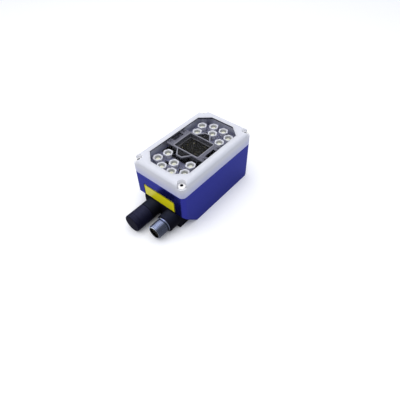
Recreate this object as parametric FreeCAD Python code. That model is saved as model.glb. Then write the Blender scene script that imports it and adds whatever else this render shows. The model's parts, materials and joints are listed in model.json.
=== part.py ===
import FreeCAD
import Part
import math
import os
from FreeCAD import Vector

# Fixed-mount barcode reader lying on its back, window up, sizes in millimetres.
# Origin: centre of the four mounting holes on the back face. The connectors point to -Y.

# Body
body_width = 52.0
body_length = 85.2
seam_height = 35.36
bezel_height = 12.91
corner_radius = 3.9
bezel_edge_round = 2.95
wall = 2.6
floor_thickness = 3.5
cavity_corner_radius = 1.75
connector_cut = 14.3
cut_wall = 3.0
back_chamfer = 3.9
seam_chamfer = 0.22
fit_clearance = 0.05
assembly_clearance = 0.25

# Window
window_border_side = 6.01
window_border_end = 6.14
window_corner_x = 9.06
window_corner_y = 7.8
window_lip = 0.35
window_edge_round = 0.26
pane_seal_thickness = 0.2
pane_thickness = 0.85
pane_land = 1.55
bezel_plate = 2.8

# Bezel screws and gasket
screw_inset = 3.9
corner_screw_radius = 1.5
corner_head_radius = 3.05
corner_head_height = 1.4
corner_head_depth = 2.8
corner_thread_depth = 7.8
counterbore_clearance = 0.2
screw_head_round = 0.35
pillar_wall = 1.05
gasket_inset = 0.95
gasket_width = 0.85
gasket_depth = 0.7

# Mounting holes in the back
mount_spacing_x = 32.0
mount_spacing_y = 43.0
mount_hole_radius = 1.65
mount_hole_depth = 5.2
mount_boss_wall = 2.0

# Chassis plate
ledge_height = 26.0
ledge_width = 1.75
chassis_thickness = 1.75
chassis_screw_y = 24.3
chassis_screw_radius = 1.25
chassis_head_radius = 2.3
chassis_head_height = 1.5
chassis_thread_depth = 5.2
chassis_boss_wall = 1.3

# Small screws on boards and shroud
small_screw_radius = 1.0
small_head_radius = 1.75
small_head_height = 1.1
small_thread_depth = 3.5
small_boss_wall = 1.05
board_thickness = 1.4

# Processor board
processor_half_x = 17.3
processor_half_y = 25.1
processor_centre_y = 7.8
processor_hole_inset = 3.0
processor_gap = 4.3
chip_side = 15.0
chip_thickness = 1.5
pad_side = 16.0
stack_length = 15.6
stack_width = 3.9
stack_y = 10.8

# Sensor, lens holder and lens
sensor_board_half = 13.9
sensor_hole_inset = 3.0
sensor_gap = 4.3
sensor_size_x = 8.7
sensor_size_y = 7.8
sensor_thickness = 1.3
holder_radius = 8.25
holder_height = 10.0
holder_chamber_radius = 6.6
holder_chamber_height = 3.5
lens_thread_radius = 6.0
lens_thread_length = 8.6
lens_head_radius = 7.0
lens_head_length = 5.2
lens_bore_radius = 3.7
lens_glass_radius = 5.4
lens_glass_edge = 1.0
lens_glass_crown = 0.6
lens_glass_recess = 0.45
lock_ring_radius = 7.5
lock_ring_height = 1.75

# Illuminator
led_top_gap = 0.9
illuminator_margin = 1.05
illuminator_opening_margin = 0.5
illuminator_screw_x = 7.37
illuminator_screw_inset = 12.55
led_places = [(5.11, 4.92), (13.87, 9.78), (0.0, 13.16), (11.7, 18.92)]
led_radius = 4.07
led_foot_radius = 2.6
led_height = 4.7
led_rim = 0.8
led_face_radius = 3.2
led_face_depth = 0.45
led_pocket_radius = 1.65
led_pocket_depth = 1.9
emitter_side = 2.1
emitter_base = 0.6
emitter_dome = 0.75

# Camera shroud
pane_gap = 0.13
shroud_rim_height = 0.26
shroud_rim_width = 0.78
shroud_plate = 1.4
shroud_side_clearance = 0.7
shroud_half_y = 11.27
shroud_corner = 3.5
shroud_screw_inset = 3.0
shroud_screw_y = 8.06
well_half_x = 12.22
well_half_y = 9.88
well_depth = 4.0
well_wall = 0.85
well_corner = 1.05
frame_half_x = 11.09
frame_half_y = 8.75
slot_inset = 3.17
slot_half_x = 2.17
slot_half_y = 5.2
slot_corner = 1.05
tab_base_half = 7.63
tab_tip_half = 2.17
tab_reach = 6.33
aimer_half_x = 3.1
aimer_half_y = 1.9
aimer_window_recess = 0.7
aimer_window_thickness = 1.0
aimer_lens_radius = 1.3
aimer_lens_rise = 0.4

# Swivelling connector block
swivel_gap = 0.35
swivel_clearance = 0.05
hub_radius = 6.5
hub_bore_radius = 4.0
hub_tail = 0.8
hub_bore_reach = 4.3
clip_thickness = 0.9
clip_radius = 7.5
clip_groove_depth = 0.7
clip_opening = 4.3
clip_play = 0.1
seal_section = 0.65
seal_place = 1.45
block_left_reach = 17.6
block_right_reach = 20.9
block_front_reach = 0.7
block_base_gap = 0.26
block_edge_round = 1.05
connector_spacing = 19.7
connector_offset = 3.32
connector_height = 7.8
sleeve_radius = 7.5
sleeve_reach = 9.2
sleeve_edge_round = 0.7
channel_radius = 2.8

# M12 connectors
thread_radius = 6.0
thread_length = 9.9
collar_radius = 6.6
collar_thickness = 1.0
tail_radius = 6.4
tail_length = 7.8
shell_bore_radius = 4.8
power_insert_recess = 4.6
network_insert_recess = 1.0
pin_radius = 0.38
pin_ring_radii = [0.0, 1.85, 3.4]
pin_ring_count = [1, 5, 11]
pin_tip_recess = 1.0
contact_radius = 0.45
contact_ring = 2.9
contact_half_angle = 22.0
contact_depth = 5.0
shield_half = 3.9
shield_thickness = 0.6
shield_depth = 6.0

# Dust cap
cap_radius = 7.5
cap_head_length = 4.44
cap_skirt_length = 11.16
cap_seal_thickness = 0.55
cap_groove = 0.43
cap_rib_count = 24
cap_rib_width = 0.6
cap_rib_depth = 0.35
cap_rib_margin = 0.7
cap_thread_clearance = 0.15
cap_seal_clearance = 0.05

# Button panel on the far end
panel_half_x = 15.6
panel_half_z = 6.1
panel_centre_z = 17.3
panel_thickness = 0.7
panel_corner = 1.75
panel_board_margin = 0.35
panel_board_half_z = 5.7
button_x = -7.8
button_radius = 2.8
button_proud = 0.45
button_flange = 0.7
button_flange_thickness = 0.6
button_travel = 0.5
button_play = 0.1
switch_side = 5.2
switch_height = 2.6
switch_plunger_radius = 1.4
switch_plunger = 0.5
light_radius = 0.95
light_first_x = -2.25
light_pitch = 3.1
light_count = 4
light_proud = 0.17
panel_screw_x = 13.9

# End label
label_width = 33.3
label_height = 11.6
label_gap = 0.26
label_thickness = 0.15
label_corner = 1.3

# Derived places
half_x = body_width / 2
half_y = body_length / 2
bezel_top = seam_height + bezel_height
inner_x = half_x - wall
inner_y = half_y - wall
window_x = half_x - window_border_side
window_y = half_y - window_border_end
pane_top = bezel_top - window_lip - pane_seal_thickness
pane_bottom = pane_top - pane_thickness
screw_x = half_x - screw_inset
screw_y = half_y - screw_inset
corner_seat = bezel_top - corner_head_depth - corner_head_height
counterbore_radius = corner_head_radius + counterbore_clearance
pillar_radius = counterbore_radius + pillar_wall
cut_level = connector_cut - half_y
chassis_top = ledge_height + chassis_thickness
chassis_screw_x = inner_x - assembly_clearance - chassis_head_radius
processor_bottom = floor_thickness + processor_gap
processor_top = processor_bottom + board_thickness
sensor_board_top = ledge_height - sensor_gap
sensor_board_bottom = sensor_board_top - board_thickness
sensor_hole = sensor_board_half - sensor_hole_inset
holder_top = sensor_board_top + holder_height
lens_seat = holder_top + lock_ring_height
lens_top = lens_seat + lens_head_length
small_boss_radius = small_screw_radius + small_boss_wall
shroud_rim_top = pane_bottom - pane_gap
shroud_top = shroud_rim_top - shroud_rim_height
shroud_bottom = shroud_top - shroud_plate
aimer_window_top = shroud_top - aimer_window_recess
aimer_window_bottom = aimer_window_top - aimer_window_thickness
shroud_half_x = window_x + pane_land - shroud_side_clearance
shroud_screw_x = shroud_half_x - shroud_screw_inset
slot_centre_x = shroud_half_x - slot_inset
illuminator_top = shroud_bottom - led_top_gap - led_height
illuminator_bottom = illuminator_top - board_thickness
illuminator_screw_y = window_y - illuminator_screw_inset
well_floor = shroud_rim_top - well_depth
tab_tip_y = shroud_half_y + tab_reach - shroud_rim_width
aimer_inner = well_half_y + well_wall + assembly_clearance
aimer_y = aimer_inner + aimer_half_y
block_front = -half_y - block_front_reach
sleeve_end = block_front - sleeve_reach
power_x = connector_offset + connector_spacing / 2
network_x = connector_offset - connector_spacing / 2
collar_front = sleeve_end - collar_thickness
thread_end = collar_front - thread_length
tail_end = sleeve_end + tail_length
cap_open = sleeve_end - assembly_clearance
cap_joint = cap_open - cap_skirt_length
cap_end = cap_joint - cap_head_length
cap_floor = thread_end - cap_seal_clearance - cap_seal_thickness
panel_inner = half_y - panel_thickness
flange_top = inner_y - button_play
flange_bottom = flange_top - button_flange_thickness
plunger_top = flange_bottom - button_travel - button_play
switch_top = plunger_top - switch_plunger
panel_board_face = switch_top - switch_height
panel_board_back = panel_board_face - board_thickness
panel_board_half_x = panel_screw_x + small_boss_radius + panel_board_margin

UP = Vector(0, 0, 1)
DOWN = Vector(0, 0, -1)
AWAY = Vector(0, 1, 0)
INWARD = Vector(0, 1, 1).normalize()
SWIVEL = Vector(0, cut_level - connector_cut / 2, connector_cut / 2)
TINY = 1e-6


def box(x0, x1, y0, y1, z0, z1):
    return Part.makeBox(x1 - x0, y1 - y0, z1 - z0, Vector(x0, y0, z0))


def upright(radius, x, y, z0, z1):
    return Part.makeCylinder(radius, z1 - z0, Vector(x, y, z0))


def along_y(radius, x, z, y0, y1):
    return Part.makeCylinder(radius, y1 - y0, Vector(x, y0, z), AWAY)


def fuse(shapes):
    return shapes[0].multiFuse(shapes[1:]).removeSplitter()


def group(shapes):
    return Part.makeCompound(shapes)


def prism(points, way):
    """Closed outline pushed along a vector."""
    return Part.Face(Part.makePolygon(points + points[:1])).extrude(way)


def corners(x, y):
    return [(sx * x, sy * y) for sx in (-1, 1) for sy in (-1, 1)]


def rounded_block(reach_x, reach_y, radius, z0, z1):
    """Block about the Z axis with rounded upright edges."""
    block = box(-reach_x, reach_x, -reach_y, reach_y, z0, z1)
    edges = [e for e in block.Edges if abs(e.tangentAt(e.FirstParameter).z) > 0.5]
    return block.makeFillet(radius, edges)


def wall_plate(reach_x, reach_z, radius, centre_z, y0, y1):
    """Upright plate with rounded corners, facing along Y."""
    plate = box(-reach_x, reach_x, y0, y1, centre_z - reach_z, centre_z + reach_z)
    edges = [e for e in plate.Edges if abs(e.tangentAt(e.FirstParameter).y) > 0.5]
    return plate.makeFillet(radius, edges)


def octagon(grow, z0, z1):
    """Window outline, grown evenly on every side."""
    slope = math.hypot(window_corner_x, window_corner_y)
    x = window_x + grow
    y = window_y + grow
    near_x = window_x - window_corner_x + grow * (slope - window_corner_x) / window_corner_y
    near_y = window_y - window_corner_y + grow * (slope - window_corner_y) / window_corner_x
    right = [(x, -near_y), (x, near_y), (near_x, y)]
    left = [(-near_x, y), (-x, near_y), (-x, -near_y)]
    outline = right + left + [(-near_x, -y), (near_x, -y)]
    return prism([Vector(px, py, z0) for px, py in outline], Vector(0, 0, z1 - z0))


def beyond_cut(shift):
    """Everything past the slanted face, with the face moved inwards by shift."""
    level = cut_level + shift * math.sqrt(2)
    reach = 2 * body_length
    outline = [(-reach, level + reach), (level + reach, -reach), (-reach, -reach)]
    return prism([Vector(-reach, y, z) for y, z in outline], Vector(2 * reach, 0, 0))


def on_swivel(distance):
    """Point on the swivel axis, measured inwards from the slanted face."""
    return SWIVEL + INWARD * distance


def screw(seat, way, shank, length, head, height):
    """Socket-head screw: seat is the point under its head, way points to its tip."""
    body = Part.makeCylinder(head, height, seat - way * height, way)
    crown = [e for e in body.Edges if e.Closed and (e.CenterOfMass - seat).dot(way) < -height / 2]
    body = body.makeFillet(screw_head_round, crown)
    body = body.fuse(Part.makeCylinder(shank, length, seat, way))
    socket_radius = head * 0.45
    turn = FreeCAD.Rotation(UP, way)
    start = seat - way * height
    ring = [math.radians(60 * i) for i in range(6)]
    outline = [Vector(math.cos(a), math.sin(a), 0) * socket_radius for a in ring]
    return body.cut(prism([start + turn.multVec(p) for p in outline], way * (height * 0.6)))


def small_screw(seat, way, length):
    return screw(seat, way, small_screw_radius, length, small_head_radius, small_head_height)


# Housing and bezel
def housing_bosses():
    """What stays solid inside the cavity."""
    bosses = [upright(pillar_radius, x, y, 0, seam_height) for x, y in corners(screw_x, screw_y)]
    chassis_boss = chassis_screw_radius + chassis_boss_wall
    for x, y in corners(chassis_screw_x, chassis_screw_y):
        bosses.append(upright(chassis_boss, x, y, 0, ledge_height))
    mount_boss = mount_hole_radius + mount_boss_wall
    for x, y in corners(mount_spacing_x / 2, mount_spacing_y / 2):
        bosses.append(upright(mount_boss, x, y, 0, mount_hole_depth + mount_boss_wall))
    for x, y in processor_holes():
        bosses.append(upright(small_boss_radius, x, y, 0, processor_bottom))
    for x in (-panel_screw_x, panel_screw_x):
        bosses.append(along_y(small_boss_radius, x, panel_centre_z, panel_board_face, half_y))
    return bosses


def processor_holes():
    x = processor_half_x - processor_hole_inset
    y = processor_half_y - processor_hole_inset
    return [(px, py + processor_centre_y) for px, py in corners(x, y)]


def button_lights():
    return [light_first_x + light_pitch * i for i in range(light_count)]


def gasket_ring(side_gap, z0, z1):
    outer = gasket_inset + side_gap
    inner = gasket_inset + gasket_width - side_gap
    ring = rounded_block(half_x - outer, half_y - outer, corner_radius - outer, z0, z1)
    return ring.cut(rounded_block(half_x - inner, half_y - inner, corner_radius - inner, z0, z1))


def housing():
    shell = rounded_block(half_x, half_y, corner_radius, 0, seam_height)
    edge = half_y - back_chamfer
    chamfer = [(edge, 0), (half_y, back_chamfer), (half_y, 0)]
    chamfer_points = [Vector(-half_x, y, z) for y, z in chamfer]
    shell = shell.cut(prism(chamfer_points, Vector(body_width, 0, 0))).cut(beyond_cut(0))
    rim = [e for e in shell.Edges if e.BoundBox.ZMin > seam_height - TINY]
    shell = shell.makeChamfer(seam_chamfer, rim)
    lower = rounded_block(inner_x - ledge_width, inner_y, cavity_corner_radius, floor_thickness, ledge_height)
    upper = rounded_block(inner_x, inner_y, cavity_corner_radius, ledge_height, seam_height)
    cavity = lower.fuse(upper).cut(beyond_cut(cut_wall)).cut(group(housing_bosses()))
    shell = shell.cut(cavity)
    screw_tip = seam_height - corner_thread_depth - fit_clearance
    tools = [upright(corner_screw_radius + fit_clearance, x, y, screw_tip, seam_height)
             for x, y in corners(screw_x, screw_y)]
    chassis_tip = ledge_height - chassis_thread_depth - fit_clearance
    for x, y in corners(chassis_screw_x, chassis_screw_y):
        tools.append(upright(chassis_screw_radius + fit_clearance, x, y, chassis_tip, ledge_height))
    for x, y in corners(mount_spacing_x / 2, mount_spacing_y / 2):
        tools.append(upright(mount_hole_radius, x, y, 0, mount_hole_depth))
    board_tip = processor_bottom - small_thread_depth - fit_clearance
    for x, y in processor_holes():
        tools.append(upright(small_screw_radius + fit_clearance, x, y, board_tip, processor_bottom))
    panel_tip = panel_board_face + small_thread_depth + fit_clearance
    for x in (-panel_screw_x, panel_screw_x):
        tools.append(along_y(small_screw_radius + fit_clearance, x, panel_centre_z,
                             panel_board_face, panel_tip))
    tools.append(Part.makeCylinder(hub_radius + swivel_clearance, 2 * cut_wall,
                                   on_swivel(-cut_wall / 2), INWARD))
    tools.append(gasket_ring(0, seam_height - gasket_depth, seam_height))
    tools.append(wall_plate(panel_half_x + fit_clearance, panel_half_z + fit_clearance, panel_corner,
                            panel_centre_z, panel_inner, half_y))
    tools.append(along_y(button_radius + assembly_clearance, button_x, panel_centre_z, inner_y, half_y))
    for x in button_lights():
        tools.append(along_y(light_radius + fit_clearance, x, panel_centre_z, inner_y, half_y))
    return shell.cut(group(tools))


def inside_window(point):
    return abs(point.x) < window_x + TINY and abs(point.y) < window_y + TINY


def screw_pocket(x, y):
    """Room for a screw head, open towards the bezel's nearest corner."""
    pocket = upright(counterbore_radius, x, y, corner_seat, bezel_top)
    mouth = box(0, 2 * screw_inset, -counterbore_radius, counterbore_radius, corner_seat, bezel_top)
    outwards = math.degrees(math.atan2(math.copysign(1, y), math.copysign(1, x)))
    mouth.rotate(Vector(0, 0, 0), UP, outwards)
    return pocket.fuse(mouth.translated(Vector(x, y, 0))).removeSplitter()


def front_bezel():
    shell = rounded_block(half_x, half_y, corner_radius, seam_height, bezel_top)
    rim = [e for e in shell.Edges if all(v.Z > bezel_top - TINY for v in e.Vertexes)]
    shell = shell.makeFillet(bezel_edge_round, rim)
    foot = [e for e in shell.Edges if e.BoundBox.ZMax < seam_height + TINY]
    shell = shell.makeChamfer(seam_chamfer, foot)
    pillars = [upright(pillar_radius, x, y, seam_height, bezel_top) for x, y in corners(screw_x, screw_y)]
    cavity = rounded_block(inner_x, inner_y, cavity_corner_radius, seam_height, bezel_top - bezel_plate)
    shell = shell.cut(cavity.cut(group(pillars))).cut(octagon(0, pane_top, bezel_top))
    sill = [e for e in shell.Edges if e.BoundBox.ZMin > bezel_top - TINY and inside_window(e.CenterOfMass)]
    shell = shell.makeFillet(window_edge_round, sill)
    shell = shell.cut(octagon(pane_land, bezel_top - bezel_plate, bezel_top - window_lip))
    for x, y in corners(screw_x, screw_y):
        shell = shell.cut(upright(corner_screw_radius + assembly_clearance, x, y, seam_height, corner_seat))
        shell = shell.cut(screw_pocket(x, y))
    return shell


def bezel_screws():
    length = corner_seat - seam_height + corner_thread_depth
    seats = [Vector(x, y, corner_seat) for x, y in corners(screw_x, screw_y)]
    return group([screw(seat, DOWN, corner_screw_radius, length, corner_head_radius, corner_head_height)
                  for seat in seats])


def bezel_gasket():
    return gasket_ring(fit_clearance, seam_height - gasket_depth, seam_height)


def front_window():
    return octagon(pane_land - fit_clearance, pane_bottom, pane_top)


def pane_seal():
    ring = octagon(pane_land - fit_clearance, pane_top, bezel_top - window_lip)
    return ring.cut(octagon(assembly_clearance, pane_top, bezel_top - window_lip))


# Shroud and illuminator
def tab_outline(grow, side, z0, z1):
    """Trapezoid beside the camera opening, pointing to +Y or -Y."""
    base = well_half_y
    tip = tab_tip_y + grow
    outline = [(tab_base_half + grow, base), (tab_tip_half + grow, tip)]
    outline += [(-tab_tip_half - grow, tip), (-tab_base_half - grow, base)]
    return prism([Vector(x, side * y, z0) for x, y in outline], Vector(0, 0, z1 - z0))


def shroud_holes():
    return corners(shroud_screw_x, shroud_screw_y)


def camera_shroud():
    rim = shroud_rim_width
    plate = rounded_block(shroud_half_x, shroud_half_y, shroud_corner, shroud_bottom, shroud_top)
    solids = [plate]
    for side in (-1, 1):
        solids.append(tab_outline(rim, side, shroud_bottom, shroud_rim_top))
    solids.append(rounded_block(well_half_x + rim, well_half_y + rim, well_corner + rim,
                                shroud_bottom, shroud_rim_top))
    solids.append(rounded_block(well_half_x + well_wall, well_half_y + well_wall, well_corner,
                                illuminator_top, shroud_top))
    for x, y in shroud_holes():
        solids.append(upright(small_boss_radius, x, y, illuminator_top, shroud_bottom))
    body = fuse(solids)
    for side in (-1, 1):
        opening = tab_outline(0, side, illuminator_top, shroud_rim_top)
        keep = box(-well_half_x, well_half_x, -well_half_y - well_wall, well_half_y + well_wall,
                   illuminator_top, shroud_rim_top)
        body = body.cut(opening.cut(keep))
    body = body.cut(rounded_block(well_half_x, well_half_y, well_corner, well_floor, shroud_rim_top))
    lip = rounded_block(frame_half_x + rim, frame_half_y + rim, well_corner,
                        well_floor, well_floor + shroud_rim_height)
    body = fuse([body, lip])
    body = body.cut(rounded_block(frame_half_x, frame_half_y, well_corner, illuminator_top, shroud_rim_top))
    for side in (-1, 1):
        slot = rounded_block(slot_half_x, slot_half_y, slot_corner, shroud_bottom, shroud_top)
        body = body.cut(slot.translated(Vector(side * slot_centre_x, 0, 0)))
    for x, y in shroud_holes():
        body = body.cut(upright(small_screw_radius + fit_clearance, x, y, illuminator_top, shroud_top))
        body = body.cut(upright(small_head_radius + assembly_clearance, x, y,
                                shroud_top - small_head_height, shroud_top))
    return body


def shroud_screws():
    seat = shroud_top - small_head_height
    length = seat - illuminator_bottom + small_thread_depth
    return group([small_screw(Vector(x, y, seat), DOWN, length) for x, y in shroud_holes()])


def illuminator_holes():
    return corners(illuminator_screw_x, illuminator_screw_y)


def illuminator_board():
    board = octagon(illuminator_margin, illuminator_bottom, illuminator_top)
    margin = illuminator_opening_margin
    board = board.cut(box(-frame_half_x - margin, frame_half_x + margin, -frame_half_y - margin,
                          frame_half_y + margin, illuminator_bottom, illuminator_top))
    holes = [upright(small_screw_radius + fit_clearance, x, y, illuminator_bottom, illuminator_top)
             for x, y in illuminator_holes() + shroud_holes()]
    return board.cut(group(holes))


def illuminator_screws():
    length = board_thickness + small_thread_depth
    return group([small_screw(Vector(x, y, illuminator_top), DOWN, length) for x, y in illuminator_holes()])


def illuminator_standoffs():
    posts = []
    for x, y in illuminator_holes() + shroud_holes():
        post = upright(small_boss_radius, x, y, chassis_top, illuminator_bottom)
        tip = illuminator_bottom - small_thread_depth - fit_clearance
        posts.append(post.cut(upright(small_screw_radius + fit_clearance, x, y, tip, illuminator_bottom)))
    return group(posts)


def led_centres():
    centres = []
    for side in (-1, 1):
        for x, inset in led_places:
            y = side * (window_y - inset)
            centres += [(x, y)] if x == 0 else [(-x, y), (x, y)]
    return centres


def led_lens(x, y):
    """Moulded collimator: narrow foot, wide rim, pocket for the emitter."""
    outline = [(led_pocket_radius, 0), (led_foot_radius, 0), (led_radius, led_height - led_rim)]
    outline += [(led_radius, led_height), (led_face_radius, led_height)]
    outline += [(led_face_radius, led_height - led_face_depth), (0, led_height - led_face_depth)]
    outline += [(0, led_pocket_depth), (led_pocket_radius, led_pocket_depth)]
    points = [Vector(r, 0, z) for r, z in outline]
    face = Part.Face(Part.makePolygon(points + points[:1]))
    return face.revolve(Vector(0, 0, 0), UP, 360).translated(Vector(x, y, illuminator_top))


def led_emitters():
    emitters = []
    half = emitter_side / 2
    for x, y in led_centres():
        base_top = illuminator_top + emitter_base
        base = box(x - half, x + half, y - half, y + half, illuminator_top, base_top)
        dome = Part.makeSphere(emitter_dome, Vector(x, y, base_top), UP, 0, 90, 360)
        emitters.append(base.fuse(dome))
    return group(emitters)


def aimer_module(side):
    """Aiming lamp whose dark window fills the opening in the shroud's tab."""
    y = side * aimer_y
    body = box(-aimer_half_x, aimer_half_x, y - aimer_half_y, y + aimer_half_y,
               illuminator_top, aimer_window_bottom)
    window = tab_outline(-assembly_clearance, side, aimer_window_bottom, aimer_window_top)
    window = window.cut(box(-well_half_x, well_half_x, -aimer_inner, aimer_inner,
                            aimer_window_bottom, aimer_window_top))
    lens = upright(aimer_lens_radius, 0, y, aimer_window_top, aimer_window_top + aimer_lens_rise)
    return fuse([body, window, lens])


# Chassis, sensor and lens
def chassis_plate():
    gap = assembly_clearance
    plate = rounded_block(inner_x - gap, inner_y - gap, cavity_corner_radius, ledge_height, chassis_top)
    bosses = [upright(small_boss_radius, x, y, sensor_board_top, ledge_height)
              for x, y in corners(sensor_hole, sensor_hole)]
    plate = fuse([plate] + bosses)
    for x, y in corners(screw_x, screw_y):
        plate = plate.cut(upright(pillar_radius + gap, x, y, ledge_height, chassis_top))
    for x, y in corners(chassis_screw_x, chassis_screw_y):
        plate = plate.cut(upright(chassis_screw_radius + fit_clearance, x, y, ledge_height, chassis_top))
    for x, y in corners(sensor_hole, sensor_hole):
        tip = sensor_board_top + small_thread_depth + fit_clearance
        plate = plate.cut(upright(small_screw_radius + fit_clearance, x, y, sensor_board_top, tip))
    return plate.cut(upright(holder_radius + gap, 0, 0, ledge_height, chassis_top))


def chassis_screws():
    length = chassis_thickness + chassis_thread_depth
    seats = [Vector(x, y, chassis_top) for x, y in corners(chassis_screw_x, chassis_screw_y)]
    return group([screw(seat, DOWN, chassis_screw_radius, length, chassis_head_radius, chassis_head_height)
                  for seat in seats])


def sensor_board():
    half = sensor_board_half
    board = rounded_block(half, half, cavity_corner_radius, sensor_board_bottom, sensor_board_top)
    holes = [upright(small_screw_radius + fit_clearance, x, y, sensor_board_bottom, sensor_board_top)
             for x, y in corners(sensor_hole, sensor_hole)]
    return board.cut(group(holes))


def sensor_board_screws():
    length = board_thickness + small_thread_depth
    seats = [Vector(x, y, sensor_board_bottom) for x, y in corners(sensor_hole, sensor_hole)]
    return group([small_screw(seat, UP, length) for seat in seats])


def image_sensor():
    x = sensor_size_x / 2
    y = sensor_size_y / 2
    return box(-x, x, -y, y, sensor_board_top, sensor_board_top + sensor_thickness)


def lens_holder():
    chamber_top = sensor_board_top + holder_chamber_height
    body = upright(holder_radius, 0, 0, sensor_board_top, holder_top)
    body = body.cut(upright(holder_chamber_radius, 0, 0, sensor_board_top, chamber_top))
    return body.cut(upright(lens_thread_radius + fit_clearance, 0, 0, chamber_top, holder_top))


def lens_lock_ring():
    ring = upright(lock_ring_radius, 0, 0, holder_top, lens_seat)
    return ring.cut(upright(lens_thread_radius + fit_clearance, 0, 0, holder_top, lens_seat))


def lens_barrel():
    thread_bottom = lens_seat - lens_thread_length
    barrel = upright(lens_thread_radius, 0, 0, thread_bottom, lens_seat)
    barrel = barrel.fuse(upright(lens_head_radius, 0, 0, lens_seat, lens_top))
    glass_seat = lens_top - lens_glass_recess - lens_glass_crown - lens_glass_edge
    barrel = barrel.cut(upright(lens_bore_radius, 0, 0, thread_bottom, glass_seat))
    return barrel.cut(upright(lens_glass_radius + fit_clearance, 0, 0, glass_seat, lens_top))


def lens_glass():
    glass_seat = lens_top - lens_glass_recess - lens_glass_crown - lens_glass_edge
    rim = Vector(lens_glass_radius, 0, glass_seat + lens_glass_edge)
    peak = Vector(0, 0, rim.z + lens_glass_crown)
    crown_radius = (lens_glass_radius ** 2 + lens_glass_crown ** 2) / (2 * lens_glass_crown)
    middle_angle = math.asin(lens_glass_radius / crown_radius) / 2
    middle = Vector(crown_radius * math.sin(middle_angle), 0,
                    peak.z - crown_radius * (1 - math.cos(middle_angle)))
    foot = Vector(lens_glass_radius, 0, glass_seat)
    centre = Vector(0, 0, glass_seat)
    edges = [Part.LineSegment(centre, foot).toShape(), Part.LineSegment(foot, rim).toShape()]
    edges += [Part.Arc(rim, middle, peak).toShape(), Part.LineSegment(peak, centre).toShape()]
    return Part.Face(Part.Wire(edges)).revolve(centre, UP, 360)


# Processor board
def processor_board():
    x = processor_half_x
    y0 = processor_centre_y - processor_half_y
    y1 = processor_centre_y + processor_half_y
    board = box(-x, x, y0, y1, processor_bottom, processor_top)
    holes = [upright(small_screw_radius + fit_clearance, px, py, processor_bottom, processor_top)
             for px, py in processor_holes()]
    return board.cut(group(holes))


def board_screws():
    length = board_thickness + small_thread_depth
    return group([small_screw(Vector(x, y, processor_top), DOWN, length) for x, y in processor_holes()])


def square_under_board(side, z0, z1):
    half = side / 2
    return box(-half, half, processor_centre_y - half, processor_centre_y + half, z0, z1)


def processor_chip():
    return square_under_board(chip_side, processor_bottom - chip_thickness, processor_bottom)


def thermal_pad():
    return square_under_board(pad_side, floor_thickness, processor_bottom - chip_thickness)


def stacking_connector():
    x = stack_length / 2
    y = stack_width / 2
    return box(-x, x, stack_y - y, stack_y + y, processor_top, sensor_board_bottom)


# Swivelling connector block
def connector_block():
    back = -half_y + connector_cut
    wedge = box(-block_left_reach, block_right_reach, block_front, back, block_base_gap, connector_cut)
    outer = [e for e in wedge.Edges if all(v.Y < block_front + TINY for v in e.Vertexes)]
    wedge = wedge.makeFillet(block_edge_round, outer)
    solids = [wedge]
    for x in (power_x, network_x):
        sleeve = along_y(sleeve_radius, x, connector_height, sleeve_end, back)
        tip = [e for e in sleeve.Edges if all(v.Y < sleeve_end + TINY for v in e.Vertexes)]
        solids.append(sleeve.makeFillet(sleeve_edge_round, tip))
    body = fuse(solids).common(beyond_cut(-swivel_gap))
    hub_length = cut_wall + clip_play + clip_thickness + hub_tail
    hub = Part.makeCylinder(hub_radius, hub_length + 2 * swivel_gap, on_swivel(-2 * swivel_gap), INWARD)
    body = fuse([body, hub])
    clip_start = on_swivel(cut_wall + clip_play - fit_clearance)
    body = body.cut(swivel_ring(hub_radius + TINY, hub_radius - clip_groove_depth, clip_start,
                                clip_thickness + 2 * fit_clearance))
    seal_start = on_swivel(seal_place - seal_section - fit_clearance)
    body = body.cut(swivel_ring(hub_radius + TINY, hub_radius - 2 * seal_section - 2 * fit_clearance,
                                seal_start, 2 * seal_section + 2 * fit_clearance))
    body = body.cut(Part.makeCylinder(hub_bore_radius, hub_length + hub_bore_reach,
                                      on_swivel(-hub_bore_reach), INWARD))
    middle = on_swivel(-hub_bore_reach)
    channel = Part.makeCylinder(channel_radius, connector_spacing, Vector(network_x, middle.y, middle.z),
                                Vector(1, 0, 0))
    body = body.cut(channel)
    for x in (power_x, network_x):
        body = body.cut(along_y(tail_radius + fit_clearance, x, connector_height, sleeve_end, tail_end))
        mouth = Vector(x, tail_end - channel_radius, connector_height)
        wire_way = Vector(x, middle.y, middle.z) - mouth
        body = body.cut(Part.makeCylinder(channel_radius, wire_way.Length, mouth, wire_way))
    return body


def swivel_ring(outer, inner, start, length):
    ring = Part.makeCylinder(outer, length, start, INWARD)
    return ring.cut(Part.makeCylinder(inner, length, start, INWARD))


def swivel_seal():
    centre = on_swivel(seal_place)
    return Part.makeTorus(hub_radius - seal_section - fit_clearance, seal_section, centre, INWARD)


def swivel_clip():
    start = on_swivel(cut_wall + clip_play)
    ring = swivel_ring(clip_radius, hub_radius - clip_groove_depth + fit_clearance, start, clip_thickness)
    half = clip_opening / 2
    mouth = box(-half, half, 0, clip_radius, 0, clip_thickness)
    mouth.Placement = FreeCAD.Placement(start, FreeCAD.Rotation(Vector(1, 0, 0), -45))
    return ring.cut(mouth)


def connector_shell(x):
    shell = along_y(thread_radius, x, connector_height, thread_end, collar_front)
    shell = shell.fuse(along_y(collar_radius, x, connector_height, collar_front, sleeve_end))
    shell = shell.fuse(along_y(tail_radius, x, connector_height, sleeve_end, tail_end))
    return shell.cut(along_y(shell_bore_radius, x, connector_height, thread_end, tail_end))


def insert_body(x, recess):
    return along_y(shell_bore_radius - fit_clearance, x, connector_height, thread_end + recess, tail_end)


def pin_places():
    places = []
    for radius, count in zip(pin_ring_radii, pin_ring_count):
        for i in range(count):
            angle = 2 * math.pi * i / count
            places.append((power_x + radius * math.cos(angle), connector_height + radius * math.sin(angle)))
    return places


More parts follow.
